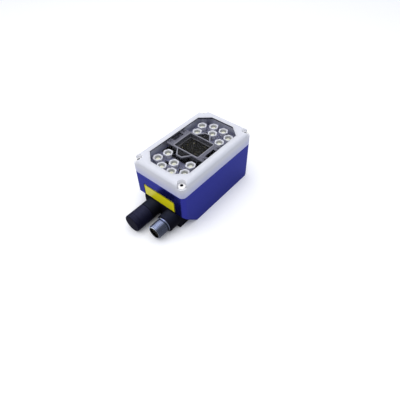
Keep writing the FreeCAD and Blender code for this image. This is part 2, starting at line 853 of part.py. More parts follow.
def power_connector_insert():
    body = insert_body(power_x, power_insert_recess)
    face = thread_end + power_insert_recess
    holes = [along_y(pin_radius + fit_clearance, x, z, face, tail_end) for x, z in pin_places()]
    return body.cut(group(holes))


def power_connector_pins():
    return group([along_y(pin_radius, x, z, thread_end + pin_tip_recess, tail_end) for x, z in pin_places()])


def shield_cross(gap, depth):
    start = thread_end + network_insert_recess
    long_half = shield_half + gap
    thin_half = shield_thickness / 2 + gap
    sizes = [(long_half, thin_half), (thin_half, long_half)]
    arms = [box(network_x - x, network_x + x, start, start + depth,
                connector_height - z, connector_height + z) for x, z in sizes]
    return arms[0].fuse(arms[1]).removeSplitter()


def network_connector_insert():
    body = insert_body(network_x, network_insert_recess)
    face = thread_end + network_insert_recess
    holes = []
    for quarter in range(4):
        for side in (-1, 1):
            angle = math.radians(45 + 90 * quarter + side * contact_half_angle)
            x = network_x + contact_ring * math.cos(angle)
            z = connector_height + contact_ring * math.sin(angle)
            holes.append(along_y(contact_radius, x, z, face, face + contact_depth))
    return body.cut(group(holes)).cut(shield_cross(fit_clearance, shield_depth))


def network_connector_shield():
    return shield_cross(0, shield_depth)


def dust_cap():
    skirt = along_y(cap_radius, network_x, connector_height, cap_joint, cap_open)
    neck = along_y(cap_radius - cap_groove, network_x, connector_height, cap_joint - cap_groove, cap_joint)
    head = along_y(cap_radius, network_x, connector_height, cap_end, cap_joint - cap_groove)
    tip = [e for e in head.Edges if all(v.Y < cap_end + TINY for v in e.Vertexes)]
    head = head.makeFillet(sleeve_edge_round, tip)
    cap = fuse([skirt, neck, head])
    collar_room = along_y(collar_radius + assembly_clearance, network_x, connector_height,
                          collar_front - assembly_clearance, cap_open)
    bore = along_y(thread_radius + cap_thread_clearance, network_x, connector_height, cap_floor, cap_open)
    cap = cap.cut(collar_room).cut(bore)
    half = cap_rib_width / 2
    rib_start = cap_end + cap_rib_margin
    rib_end = cap_joint - cap_groove - cap_rib_margin
    axis = Vector(network_x, 0, connector_height)
    for i in range(cap_rib_count):
        notch = box(network_x - half, network_x + half, rib_start, rib_end,
                    connector_height + cap_radius - cap_rib_depth, connector_height + cap_radius + half)
        notch.rotate(axis, AWAY, 360 * i / cap_rib_count)
        cap = cap.cut(notch)
    return cap


def dust_cap_seal():
    front = thread_end - cap_seal_clearance
    disc = along_y(thread_radius, network_x, connector_height, cap_floor, front)
    return disc.cut(along_y(shell_bore_radius, network_x, connector_height, cap_floor, front))


# Button panel on the far end
def button_panel():
    panel = wall_plate(panel_half_x, panel_half_z, panel_corner, panel_centre_z, panel_inner, half_y)
    panel = panel.cut(along_y(button_radius + assembly_clearance, button_x, panel_centre_z,
                              panel_inner, half_y))
    for x in button_lights():
        panel = panel.cut(along_y(light_radius + fit_clearance, x, panel_centre_z, panel_inner, half_y))
    return panel


def teach_button():
    cap = along_y(button_radius, button_x, panel_centre_z, flange_top, half_y + button_proud)
    flange = along_y(button_radius + button_flange, button_x, panel_centre_z, flange_bottom, flange_top)
    return cap.fuse(flange).removeSplitter()


def tact_switch():
    half = switch_side / 2
    base = box(button_x - half, button_x + half, panel_board_face, switch_top,
               panel_centre_z - half, panel_centre_z + half)
    return base.fuse(along_y(switch_plunger_radius, button_x, panel_centre_z, switch_top, plunger_top))


def status_lights():
    start = panel_board_face + assembly_clearance
    return group([along_y(light_radius, x, panel_centre_z, start, half_y + light_proud)
                  for x in button_lights()])


def panel_board():
    board = box(-panel_board_half_x, panel_board_half_x, panel_board_back, panel_board_face,
                panel_centre_z - panel_board_half_z, panel_centre_z + panel_board_half_z)
    for x in (-panel_screw_x, panel_screw_x):
        board = board.cut(along_y(small_screw_radius + fit_clearance, x, panel_centre_z,
                                  panel_board_back, panel_board_face))
    return board


def panel_board_screws():
    length = board_thickness + small_thread_depth
    return group([small_screw(Vector(x, panel_board_back, panel_centre_z), AWAY, length)
                  for x in (-panel_screw_x, panel_screw_x)])


def end_label():
    centre = connector_cut + label_gap + label_height / 2
    return wall_plate(label_width / 2, label_height / 2, label_corner, centre,
                      -half_y - label_thickness, -half_y)


nodes = {
    "housing": housing(),
    "front_bezel": front_bezel(),
    "bezel_screws": bezel_screws(),
    "bezel_gasket": bezel_gasket(),
    "front_window": front_window(),
    "pane_seal": pane_seal(),
    "camera_shroud": camera_shroud(),
    "shroud_screws": shroud_screws(),
    "illuminator_board": illuminator_board(),
    "illuminator_screws": illuminator_screws(),
    "illuminator_standoffs": illuminator_standoffs(),
    "led_emitters": led_emitters(),
    "aimer_module_near": aimer_module(-1),
    "aimer_module_far": aimer_module(1),
    "chassis_plate": chassis_plate(),
    "chassis_screws": chassis_screws(),
    "sensor_board": sensor_board(),
    "sensor_board_screws": sensor_board_screws(),
    "image_sensor": image_sensor(),
    "lens_holder": lens_holder(),
    "lens_lock_ring": lens_lock_ring(),
    "lens_barrel": lens_barrel(),
    "lens_glass": lens_glass(),
    "processor_board": processor_board(),
    "board_screws": board_screws(),
    "processor_chip": processor_chip(),
    "thermal_pad": thermal_pad(),
    "stacking_connector": stacking_connector(),
    "connector_block": connector_block(),
    "swivel_seal": swivel_seal(),
    "swivel_clip": swivel_clip(),
    "power_connector_shell": connector_shell(power_x),
    "power_connector_insert": power_connector_insert(),
    "power_connector_pins": power_connector_pins(),
    "network_connector_shell": connector_shell(network_x),
    "network_connector_insert": network_connector_insert(),
    "network_connector_shield": network_connector_shield(),
    "dust_cap": dust_cap(),
    "dust_cap_seal": dust_cap_seal(),
    "button_panel": button_panel(),
    "teach_button": teach_button(),
    "tact_switch": tact_switch(),
    "status_lights": status_lights(),
    "panel_board": panel_board(),
    "panel_board_screws": panel_board_screws(),
    "end_label": end_label(),
}
for number, (x, y) in enumerate(led_centres(), start=1):
    nodes["led_lens_%02d" % number] = led_lens(x, y)

os.makedirs("parts", exist_ok=True)
for name, shape in nodes.items():
    shape.exportStep("parts/" + name + ".step")
    state = "valid" if shape.isValid() else "INVALID"
    print(name, len(shape.Solids), "solids", round(shape.Volume, 1), "mm3", state)
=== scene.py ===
# %% [markdown]
# # A fixed-mount barcode reader
# The reader is a blue metal box with a pale window frame on top. Behind the window sit two
# banks of lamps and a camera, and a black block with two round connectors fills its lower corner.
# The solids come in as a fixed frame, already in place and in metres. They are never moved or
# edited here: this lesson gives each of them a finish, makes the few pieces that a solid can't
# show well, such as screw threads and lamp optics, and sets up a small studio around them.

# %% Load the solids
import json
import math

import bmesh
import bpy
from mathutils import Matrix, Vector


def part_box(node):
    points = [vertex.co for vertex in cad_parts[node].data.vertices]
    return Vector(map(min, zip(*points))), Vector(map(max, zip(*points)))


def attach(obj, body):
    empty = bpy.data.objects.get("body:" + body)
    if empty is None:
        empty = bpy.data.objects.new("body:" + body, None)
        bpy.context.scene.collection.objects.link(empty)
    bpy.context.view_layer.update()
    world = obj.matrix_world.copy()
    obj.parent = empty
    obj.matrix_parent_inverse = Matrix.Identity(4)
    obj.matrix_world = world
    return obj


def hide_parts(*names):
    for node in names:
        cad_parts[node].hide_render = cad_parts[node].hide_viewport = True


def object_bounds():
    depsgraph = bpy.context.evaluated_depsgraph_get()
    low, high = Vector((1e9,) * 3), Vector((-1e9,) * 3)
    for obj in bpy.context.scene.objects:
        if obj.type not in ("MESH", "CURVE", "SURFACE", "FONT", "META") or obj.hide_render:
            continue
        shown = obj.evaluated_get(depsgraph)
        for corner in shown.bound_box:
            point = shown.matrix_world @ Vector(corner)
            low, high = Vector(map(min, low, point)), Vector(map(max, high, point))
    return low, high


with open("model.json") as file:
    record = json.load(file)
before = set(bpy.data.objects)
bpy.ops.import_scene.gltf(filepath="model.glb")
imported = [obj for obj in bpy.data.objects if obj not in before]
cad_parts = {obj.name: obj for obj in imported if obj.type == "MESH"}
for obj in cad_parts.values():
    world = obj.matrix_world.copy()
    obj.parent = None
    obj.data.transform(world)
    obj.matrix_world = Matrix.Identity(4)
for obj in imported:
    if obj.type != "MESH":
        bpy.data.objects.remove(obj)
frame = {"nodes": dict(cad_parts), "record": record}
cad_low, cad_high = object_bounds()
nodes = frame["nodes"]
scene = bpy.context.scene
scene.view_settings.view_transform = "Standard"
MM = 0.001
print("loaded", len(nodes), "solids, box in mm:", [round(s / MM, 1) for s in cad_high - cad_low])


# %% [markdown]
# ## The camera
# A photograph fixes where its camera stood: the edges of a box that run away from the viewer
# close in on each other, and how fast they do gives the distance. The numbers below were found
# that way. Azimuth and elevation say from which side the camera looks, roll how far it leans, and
# the focal length in pixels becomes a lens length once the sensor's width is chosen.

# %% Place the camera
def new_object(name, data):
    """A new object in the scene."""
    thing = bpy.data.objects.new(name, data)
    scene.collection.objects.link(thing)
    return thing


view_azimuth = math.radians(41.506)
view_elevation = math.radians(47.764)
view_roll = math.radians(-1.761)
camera_place = Vector((141.61, -154.75, 212.57)) * MM
image_width_pixels = 400
focal_length_pixels = 334.586
sensor_width = 36.0

level_reach = math.cos(view_elevation)
back = Vector((math.sin(view_azimuth) * level_reach, -math.cos(view_azimuth) * level_reach,
               math.sin(view_elevation)))
right = (-back).cross(Vector((0, 0, 1))).normalized()
up = right.cross(-back)
leaning_right = math.cos(view_roll) * right + math.sin(view_roll) * up
leaning_up = math.cos(view_roll) * up - math.sin(view_roll) * right
camera_data = bpy.data.cameras.new("reader_camera")
camera_data.sensor_width = sensor_width
camera_data.lens = focal_length_pixels / image_width_pixels * sensor_width
camera = new_object("reader_camera", camera_data)
turn = Matrix((leaning_right, leaning_up, back)).transposed()
camera.matrix_world = Matrix.Translation(camera_place) @ turn.to_4x4()
scene.camera = camera
print("camera lens", round(camera_data.lens, 2), "mm, distance", round(camera_place.length / MM), "mm")


# %% [markdown]
# ## Setting up nodes
# The world, the finishes and some pieces are all made of nodes. A node is always set up in the same
# way: first its settings, then its inputs, each with a value of its own or a link from another node.
# Writing that out for each node would hide what it is for, so a few helpers do it for every tree. A
# node and its sockets know the tree they belong to as id_data, so most calls needn't name it.

# %% Helpers for nodes
def set_inputs(node, values):
    """Gives each named input its value, or a link where the value is another node's socket."""
    for label, value in values.items():
        if isinstance(value, bpy.types.NodeSocket):
            node.id_data.links.new(value, node.inputs[label])
        else:
            node.inputs[label].default_value = value


def add_node(tree, kind, values=None, **settings):
    """A new node with its settings made and its inputs filled."""
    node = tree.nodes.new(kind)
    for label, setting in settings.items():
        setattr(node, label, setting)
    set_inputs(node, values or {})
    return node


def math_node(operation, first, second=0.0):
    """One arithmetic node in its operands' tree; each operand is a socket or a number."""
    tree = next(value.id_data for value in (first, second) if isinstance(value, bpy.types.NodeSocket))
    return add_node(tree, "ShaderNodeMath", {0: first, 1: second}, operation=operation).outputs[0]


def new_group(kind, name, inputs, outputs):
    """An empty node group with named sockets: the group, its inputs' sockets and its end node."""
    group = bpy.data.node_groups.new(name, kind)
    for in_out, sockets in [("INPUT", inputs), ("OUTPUT", outputs)]:
        for label, socket_kind in sockets.items():
            group.interface.new_socket(label, in_out=in_out, socket_type="NodeSocket" + socket_kind)
    return group, add_node(group, "NodeGroupInput").outputs, add_node(group, "NodeGroupOutput")


# %% [markdown]
# ## Floor, world and lamps
# The photograph shows a white sweep with hardly any shadow: light comes from all round, most of
# it from above. A wide area lamp overhead and an even world give that. A small weak lamp low on the
# left lifts the end with the connectors, and a cool one on the right lifts the long side. The floor
# and the world turn pure white only for rays that come from the camera, from a mirror or through
# glass, so the page is white without putting more light on the reader. The floor's own glow fades
# where the reader stands close, so that it keeps a soft contact shadow. For light that bounces, the
# floor is a grey card, so that the sides of the reader stay darker than its top.

# %% The world
def white_for_sight(tree, plain, white):
    """Joins two shaders: plain for light, white for what the camera sees, also in gloss and glass."""
    rays = add_node(tree, "ShaderNodeLightPath").outputs
    sight = math_node("MAXIMUM", rays["Is Camera Ray"], rays["Is Glossy Ray"])
    seen = math_node("MAXIMUM", sight, rays["Is Transmission Ray"])
    return add_node(tree, "ShaderNodeMixShader", {0: seen, 1: plain, 2: white}).outputs[0]


ambient_strength = 0.58
world = bpy.data.worlds.new("studio")
world.use_nodes = True
scene.world = world
world_tree = world.node_tree
ambient = world_tree.nodes["Background"]
set_inputs(ambient, {"Color": (0.85, 0.88, 1.0, 1), "Strength": ambient_strength})
page = add_node(world_tree, "ShaderNodeBackground", {"Color": (1, 1, 1, 1), "Strength": 1.0})
sky = white_for_sight(world_tree, ambient.outputs[0], page.outputs[0])
set_inputs(world_tree.nodes["World Output"], {"Surface": sky})
print("ambient light", ambient_strength)

# %% The floor
floor_reach = 3.0
floor_mesh = bpy.data.meshes.new("floor")
floor_corners = [(-floor_reach, -floor_reach), (floor_reach, -floor_reach),
                 (floor_reach, floor_reach), (-floor_reach, floor_reach)]
floor_mesh.from_pydata([(x, y, cad_low.z) for x, y in floor_corners], [], [(0, 1, 2, 3)])
floor = new_object("floor", floor_mesh)

paper_colour = (0.88, 0.88, 0.88, 1)
paper_roughness = 0.9
paper_glow = 0.32
shade_reach = 0.016
card_colour = (0.50, 0.50, 0.50, 1)
floor_material = bpy.data.materials.new("white_sweep")
floor_material.use_nodes = True
floor_tree = floor_material.node_tree
paper = floor_tree.nodes["Principled BSDF"]
set_inputs(paper, {"Base Color": paper_colour, "Roughness": paper_roughness})
card = add_node(floor_tree, "ShaderNodeBsdfDiffuse", {"Color": card_colour})
nearby = add_node(floor_tree, "ShaderNodeAmbientOcclusion", {"Distance": shade_reach})
glow_share = math_node("MULTIPLY", nearby.outputs["AO"], paper_glow)
glow = add_node(floor_tree, "ShaderNodeEmission", {"Strength": glow_share})
lit_paper = add_node(floor_tree, "ShaderNodeAddShader", {0: paper.outputs[0], 1: glow.outputs[0]})
sweep_surface = white_for_sight(floor_tree, card.outputs[0], lit_paper.outputs[0])
set_inputs(floor_tree.nodes["Material Output"], {"Surface": sweep_surface})
floor_mesh.materials.append(floor_material)
print("floor at", round(cad_low.z / MM, 2), "mm")


# %% The lamps
def soft_lamp(name, place, width, power, tint=(1.0, 1.0, 1.0)):
    """A square area lamp that faces the middle of the reader."""
    data = bpy.data.lights.new(name, "AREA")
    data.size = width
    data.energy = power
    data.color = tint
    aim = (cad_low + cad_high) / 2 - Vector(place)
    turn = aim.to_track_quat("-Z", "Y").to_matrix()
    new_object(name, data).matrix_world = Matrix.Translation(place) @ turn.to_4x4()


soft_lamp("overhead_lamp", place=(-0.070, -0.052, 0.700), width=0.78, power=2.78)
soft_lamp("fill_lamp", place=(-0.24, -0.36, 0.16), width=0.30, power=0.28)
soft_lamp("side_lamp", place=(0.40, 0.10, 0.16), width=0.30, power=0.17, tint=(0.78, 0.88, 1.0))


# %% [markdown]
# ## Effects that many finishes share
# No real surface is one flat colour. Paint has a fine orange peel, moulded plastic a grain, and
# both vary a little in tone and gloss from place to place. Painting that by hand would need an
# image for every piece. Two noise patterns, one fine and one broad, do it for all of them, so they
# are built once as a node group and placed in each material with that material's own sizes.

# %% A group for grain and tone
def noise_on_object(tree, scale, detail):
    """Noise in the piece's own coordinates, about 0.5 on average."""
    place = add_node(tree, "ShaderNodeTexCoord").outputs["Object"]
    noise = add_node(tree, "ShaderNodeTexNoise", {"Vector": place, "Scale": scale, "Detail": detail})
    return noise.outputs["Fac"]


surface_group, given, made = new_group(
    "ShaderNodeTree", "grain_and_tone",
    {"Color": "Color", "Tone Spread": "Float", "Tone Scale": "Float", "Roughness": "Float",
     "Roughness Spread": "Float", "Grain Scale": "Float"},
    {"Color": "Color", "Roughness": "Float", "Height": "Float"})
broad_noise = noise_on_object(surface_group, given["Tone Scale"], 4)
broad = math_node("SUBTRACT", broad_noise, 0.5)
fine_noise = noise_on_object(surface_group, given["Grain Scale"], 3)
fine = math_node("SUBTRACT", fine_noise, 0.5)
broad_tone = math_node("MULTIPLY", broad, given["Tone Spread"])
fine_tone = math_node("MULTIPLY", fine, given["Tone Spread"])
level = math_node("ADD", math_node("ADD", broad_tone, fine_tone), 1.0)
toned = add_node(surface_group, "ShaderNodeVectorMath", {0: given["Color"], "Scale": level},
                 operation="SCALE")
gloss_change = math_node("MULTIPLY", broad, given["Roughness Spread"])
rough = math_node("ADD", given["Roughness"], gloss_change)
set_inputs(made, {"Color": toned.outputs[0], "Roughness": rough, "Height": fine_noise})
print("group", surface_group.name)

# %% [markdown]
# ## Finding the edges of a solid
# Edges are where a surface gets rubbed, and where a real part is never perfectly sharp. The Bevel
# node looks around each point and rounds the normal near an edge. Where that rounded normal
# leaves the true one, there is an edge, and this makes a mask without touching the mesh.

# %% A group for rubbed edges
edge_gain = 6.0
edge_patch_scale = 420.0
edge_group, given, made = new_group(
    "ShaderNodeTree", "rubbed_edges", {"Width": "Float", "Break Up": "Float"},
    {"Edge": "Float", "Normal": "Vector"})
bevel = add_node(edge_group, "ShaderNodeBevel", {"Radius": given["Width"]}, samples=6)
rounded = bevel.outputs["Normal"]
true_normal = add_node(edge_group, "ShaderNodeNewGeometry").outputs["True Normal"]
compare = add_node(edge_group, "ShaderNodeVectorMath", {0: rounded, 1: true_normal}, operation="DOT_PRODUCT")
turned = math_node("SUBTRACT", 1.0, compare.outputs["Value"])
edge_noise = noise_on_object(edge_group, edge_patch_scale, 5)
patchy = math_node("MULTIPLY", edge_noise, given["Break Up"])
edge = math_node("MULTIPLY", math_node("MULTIPLY", turned, edge_gain), patchy)
set_inputs(made, {"Edge": math_node("MINIMUM", edge, 1.0), "Normal": rounded})
print("group", edge_group.name)

# %% [markdown]
# ## Dust and a painted sheen from above
# Black plastic that lies on a bench is never black on top: fine dust settles there, and the lamp's
# sheen is painted in with it. The piece's own normal says which way each point faces, so the mask is
# strongest where it faces up and fades towards the sides. A second group leaves single specks instead:
# noise with a hard threshold.

# %% Two groups, for dust with a painted sheen and for specks
dust_and_sheen_steepness = 4.0
dust_and_sheen_group, given, made = new_group(
    "ShaderNodeTree", "dust_and_sheen_from_above", {"Amount": "Float", "Patch Scale": "Float"}, {"Dust": "Float"})
facing = add_node(dust_and_sheen_group, "ShaderNodeTexCoord").outputs["Normal"]
facing_axes = add_node(dust_and_sheen_group, "ShaderNodeSeparateXYZ", {0: facing}).outputs
upward = math_node("MAXIMUM", facing_axes["Z"], 0.0)
lying = math_node("POWER", upward, dust_and_sheen_steepness)
upward_amount = math_node("MULTIPLY", lying, given["Amount"])
patches = math_node("ADD", noise_on_object(dust_and_sheen_group, given["Patch Scale"], 4), 0.5)
dust_and_sheen = math_node("MULTIPLY", upward_amount, patches)
set_inputs(made, {"Dust": math_node("MINIMUM", dust_and_sheen, 1.0)})

speck_group, given, made = new_group(
    "ShaderNodeTree", "pale_specks", {"Speck Scale": "Float", "Threshold": "Float"}, {"Specks": "Float"})
speck_noise = noise_on_object(speck_group, given["Speck Scale"], 0)
specks = math_node("GREATER_THAN", speck_noise, given["Threshold"])
set_inputs(made, {"Specks": specks})
print("groups", dust_and_sheen_group.name, speck_group.name)

# %% [markdown]
# ## Helpers that dress a material
# A finish starts as a Principled shader with the grain and tone group before it. Its colour is always
# followed by its roughness and by the size and depth of its grain in millimetres. What makes one finish
# differ from the next is then laid over its colour step by step, each step with a mask: rubbed edges,
# dust with a painted sheen, specks, or a place on the piece, and some of these masks paint light and
# shade. One helper for each step keeps the recipes below short.

# %% A finish and what is laid over it
bump_strength = 0.6


def finish(name, colour, roughness, grain_mm, depth_mm, tone, tone_mm, gloss=0.12, **sockets):
    """A Principled material with grain and tone. Other named sockets are set on the shader itself."""
    material = bpy.data.materials.new(name)
    material.use_nodes = True
    tree = material.node_tree
    surface = add_node(tree, "ShaderNodeGroup", {
        "Color": (*colour, 1), "Tone Spread": tone, "Tone Scale": 1 / (tone_mm * MM),
        "Roughness": roughness, "Roughness Spread": gloss, "Grain Scale": 1 / (grain_mm * MM),
    }, node_tree=surface_group, name="surface").outputs
    bump = add_node(tree, "ShaderNodeBump", {
        "Strength": bump_strength, "Distance": depth_mm * MM, "Height": surface["Height"]}, name="bump")
    shader = tree.nodes["Principled BSDF"]
    set_inputs(shader, {"Base Color": surface["Color"], "Roughness": surface["Roughness"],
                        "Normal": bump.outputs["Normal"]})
    set_inputs(shader, {label.replace("_", " "): value for label, value in sockets.items()})
    return material


def mix_colour(material, mask, colour):
    """Lays a colour over a finish where the mask is 1."""
    tree = material.node_tree
    shader = tree.nodes["Principled BSDF"]
    under = shader.inputs["Base Color"].links[0].from_socket
    mix = add_node(tree, "ShaderNodeMix", {"Factor": mask, "A": under, "B": (*colour, 1)}, data_type="RGBA")
    set_inputs(shader, {"Base Color": mix.outputs["Result"]})
    return material


def place_group(material, group, values):
    """Places a shared group in a material with that material's own values."""
    return add_node(material.node_tree, "ShaderNodeGroup", values, node_tree=group).outputs


def rub_edges(material, colour, width_mm, break_up):
    """Lightens the edges of a finish and rounds their normals."""
    edges = place_group(material, edge_group, {"Width": width_mm * MM, "Break Up": break_up})
    set_inputs(material.node_tree.nodes["bump"], {"Normal": edges["Normal"]})
    return mix_colour(material, edges["Edge"], colour)


def dust_and_sheen_over(material, colour, amount, patch_mm):
    """Lays dust and a painted sheen on the faces of a finish that look up."""
    dust_and_sheen_mask = place_group(material, dust_and_sheen_group, {"Amount": amount, "Patch Scale": 1 / (patch_mm * MM)})
    return mix_colour(material, dust_and_sheen_mask["Dust"], colour)


def specks_over(material, colour, speck_mm, threshold):
    """Sprinkles a finish with specks; a higher threshold leaves fewer."""
    values = {"Speck Scale": 1 / (speck_mm * MM), "Threshold": threshold}
    return mix_colour(material, place_group(material, speck_group, values)["Specks"], colour)


# %% Masks from the place on a piece
def object_axes(tree):
    """The piece's own X, Y and Z as sockets, in metres."""
    place = add_node(tree, "ShaderNodeTexCoord").outputs["Object"]
    return add_node(tree, "ShaderNodeSeparateXYZ", {0: place}).outputs


def under_limit(value, limit):
    """A mask that is 1 where a value stays under a limit."""
    return math_node("LESS_THAN", value, limit)


def both(first, second):
    """A mask that is 1 where two masks are."""
    return math_node("MULTIPLY", first, second)


def weighted_sum(first, first_share, second, second_share):
    """Two values added up, each by its share."""
    return math_node("ADD", math_node("MULTIPLY", first, first_share),
                     math_node("MULTIPLY", second, second_share))


def map_range(value, start, end, at_start, at_end, interpolation="LINEAR"):
    """Turns the range from start to end into another range, and holds the last value beyond it."""
    values = {"Value": value, "From Min": start, "From Max": end, "To Min": at_start, "To Max": at_end}
    ranged = add_node(value.id_data, "ShaderNodeMapRange", values, interpolation_type=interpolation)
    return ranged.outputs["Result"]


def distance_to_screws(tree, node, head_radius):
    """Distance from the axis of the nearest of four screws that are set out evenly."""
    low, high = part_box(node)
    axes = object_axes(tree)
    squares = []
    for number, label in enumerate("XY"):
        centre = (low[number] + high[number]) / 2
        reach = (high[number] - low[number]) / 2 - head_radius
        off_centre = math_node("ABSOLUTE", math_node("SUBTRACT", axes[label], centre))
        squares.append(math_node("POWER", math_node("SUBTRACT", off_centre, reach), 2.0))
    return math_node("SQRT", math_node("ADD", *squares))


# %% [markdown]
# ## Tones that run from the middle outwards
# On a turned piece a colour often belongs to a radius. Here the ramps paint light and shade that way:
# shade in a groove, a bore or an optic's wall, a highlight on a rim. Such a mesh carries its own radius
# as an attribute called ring, from 0 in the middle to 1 at the widest place, and a colour ramp turns
# that into tones that multiply the finish.

# %% A ramp over the radius
def ring_tones(material, stops, blend):
    """Multiplies a finish by colours that depend on the ring attribute."""
    tree = material.node_tree
    ring_place = add_node(tree, "ShaderNodeAttribute", attribute_name="ring").outputs["Fac"]
    ring_colours = add_node(tree, "ShaderNodeValToRGB", {"Fac": ring_place})
    ramp = ring_colours.color_ramp
    ramp.interpolation = blend
    for number, (position, colour) in enumerate(stops):
        stop = ramp.elements[number] if number < 2 else ramp.elements.new(position)
        stop.position = position
        stop.color = (*colour, 1)
    ringed = add_node(tree, "ShaderNodeMix", {
        "Factor": 1.0, "A": ring_colours.outputs["Color"], "B": tree.nodes["surface"].outputs["Color"],
    }, data_type="RGBA", blend_type="MULTIPLY")
    set_inputs(tree.nodes["Principled BSDF"], {"Base Color": ringed.outputs["Result"]})


# %% [markdown]
# ## The outside of the reader
# The body is cast aluminium in a deep metallic blue, and the window frame is a pale grey moulding
# with a satin grain. A plain blue plastic would mirror a white floor as white. Metallic paint mirrors
# it in blue, dark where a dark thing stands in front of it, so the blue is given most of the metal.
# The frame is painted darker and bluer over its lowest part: painted shade with a blue cast from the
# body below. The screws' pockets get painted light that lifts the shade in them. Inside the window
# opening the frame is darker, so a mask takes in what lies within the window's eight sides and below
# its lip; beside the camera, under the shroud's plate, it gets painted shade.

# %% Housing, label and screw finishes
finishes = {}


def add_finish(slot, *values, **sockets):
    """Makes the finish of a slot and keeps it under the slot's name."""
    finishes[slot] = finish(slot, *values, **sockets)
    return finishes[slot]


paint = add_finish("housing_paint", (0.024, 0.028, 0.235), 0.26, 0.9, 0.006, tone=0.10, tone_mm=22.0,
                   gloss=0.06, Metallic=0.88, Specular_Tint=(0.53, 0.55, 0.62, 1))
rub_edges(paint, (0.06, 0.065, 0.38), width_mm=0.35, break_up=0.8)
add_finish("label_film", (0.92, 0.83, 0.012), 0.24, 0.4, 0.004, tone=0.10, tone_mm=6.0,
           Specular_IOR_Level=0.25)
add_finish("screw_steel", (0.66, 0.66, 0.67), 0.42, 0.20, 0.004, tone=0.2, tone_mm=2.5, Metallic=1.0)
print("outside finishes", sorted(finishes))

# %% Frame finish
low_shade_height = 8.0 * MM
low_shade_share = 0.6
screw_pocket_radius = 3.5 * MM
corner_head_radius = 3.05 * MM
slant_x, slant_y = 0.6524, 0.7578
slant_reach = 37.4 * MM
window_lip = 0.39 * MM
pane_margin = 1.3 * MM
beside_camera = 11.5 * MM
frame_low, frame_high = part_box("front_bezel")
pane_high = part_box("front_window")[1]
bezel = add_finish("bezel_plastic", (0.785, 0.79, 0.83), 0.42, 0.35, 0.010, tone=0.04, tone_mm=18.0,
                   Specular_IOR_Level=0.3, Subsurface_Weight=0.4, Subsurface_Radius=(1.0, 1.0, 1.0),
                   Subsurface_Scale=0.0015)
rub_edges(bezel, (0.84, 0.85, 0.88), width_mm=0.30, break_up=0.5)
frame_axes = object_axes(bezel.node_tree)
across = math_node("ABSOLUTE", frame_axes["X"])
along = math_node("ABSOLUTE", frame_axes["Y"])
slant = weighted_sum(across, slant_x, along, slant_y)
inside = under_limit(frame_axes["Z"], frame_high.z - window_lip)
for distance, limit in [(across, pane_high.x + pane_margin), (along, pane_high.y + pane_margin),
                        (slant, slant_reach)]:
    inside = both(inside, under_limit(distance, limit))
# Painted shade over the frame's lowest part, with a blue cast from the body below.
painted_low_shade = map_range(frame_axes["Z"], frame_low.z, frame_low.z + low_shade_height, low_shade_share, 0.0)
from_screw = distance_to_screws(bezel.node_tree, "bezel_screws", corner_head_radius)
# Painted light in the screws' pockets, lifting the shade that falls in them.
pocket_painted_light = under_limit(from_screw, screw_pocket_radius)
# Painted shade on the walls beside the camera, under the shroud's plate.
shaded = both(inside, under_limit(along, beside_camera))
for mask, colour in [(painted_low_shade, (0.40, 0.43, 0.80)), (pocket_painted_light, (0.97, 0.97, 1.0)),
                     (inside, (0.060, 0.057, 0.085)), (shaded, (0.012, 0.012, 0.018))]:
    mix_colour(bezel, mask, colour)
print("frame fades over its lowest", round(low_shade_height / MM, 1), "mm")


# %% [markdown]
# ## The connectors
# The connector block, sleeves and dust cap are black plastic, with dust and a painted sheen on top.
# The connector shells are nickel, with painted shade below and to the right and a painted highlight
# on the side that looks up and to the left. A mask from the normal can't give that, because the rim is
# flat and faces forward everywhere. So the mask runs with the distance from the shell's own axis in
# that direction, for each of the two shells.

# %% Black plastics and small contacts
def black_moulding(slot, colour, grain_mm, tone_mm, edge_colour, edge_mm, dust_and_sheen_colour):
    """A black plastic with rubbed edges, and dust with a painted sheen on top."""
    moulding = add_finish(slot, colour, 0.40, grain_mm, 0.012, tone=0.25, tone_mm=tone_mm,
                          Specular_IOR_Level=0.3, IOR=1.06)
    rub_edges(moulding, edge_colour, edge_mm, break_up=0.7)
    dust_and_sheen_over(moulding, dust_and_sheen_colour, amount=0.5, patch_mm=3.0)


black_moulding("connector_plastic", (0.006, 0.006, 0.010), 0.30, 6.0, (0.022, 0.022, 0.030), 0.25,
               (0.040, 0.046, 0.080))
black_moulding("cap_plastic", (0.008, 0.008, 0.020), 0.28, 5.0, (0.035, 0.037, 0.060), 0.20,
               (0.055, 0.057, 0.105))
add_finish("dark_screw", (0.004, 0.004, 0.010), 0.40, 0.20, 0.004, tone=0.3, tone_mm=2.0,
           Specular_IOR_Level=0.05)
add_finish("seal_rubber", (0.042, 0.041, 0.052), 0.62, 0.25, 0.012, tone=0.3, tone_mm=4.0)
add_finish("insert_plastic", (0.004, 0.005, 0.007), 0.45, 0.2, 0.008, tone=0.25, tone_mm=2.0, IOR=1.06)
# The pins' gold is darkened far below gold: painted shade, deep in the bore.
add_finish("contact_gold", (0.055, 0.046, 0.030), 0.30, 0.15, 0.003, tone=0.2, tone_mm=1.5, Metallic=1.0)
print("finishes so far", len(finishes))

# %% Nickel
highlight_left, highlight_up = 0.6, 0.8
shade_until, highlight_from = 0.9 * MM, 5.5 * MM
shade_share = 0.17
shell_low, shell_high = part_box("power_connector_shell")
shell_middle = (shell_low + shell_high) / 2
nickel = add_finish("connector_nickel", (1.0, 1.0, 1.0), 0.22, 0.22, 0.004, tone=0.25, tone_mm=3.0,
                    Metallic=1.0)
nickel_axes = object_axes(nickel.node_tree)
own_side = math_node("SIGN", nickel_axes["X"])
own_axis = math_node("MULTIPLY", own_side, shell_middle.x)
to_left = math_node("SUBTRACT", own_axis, nickel_axes["X"])
upwards = math_node("SUBTRACT", nickel_axes["Z"], shell_middle.z)
towards_light = weighted_sum(to_left, highlight_left, upwards, highlight_up)
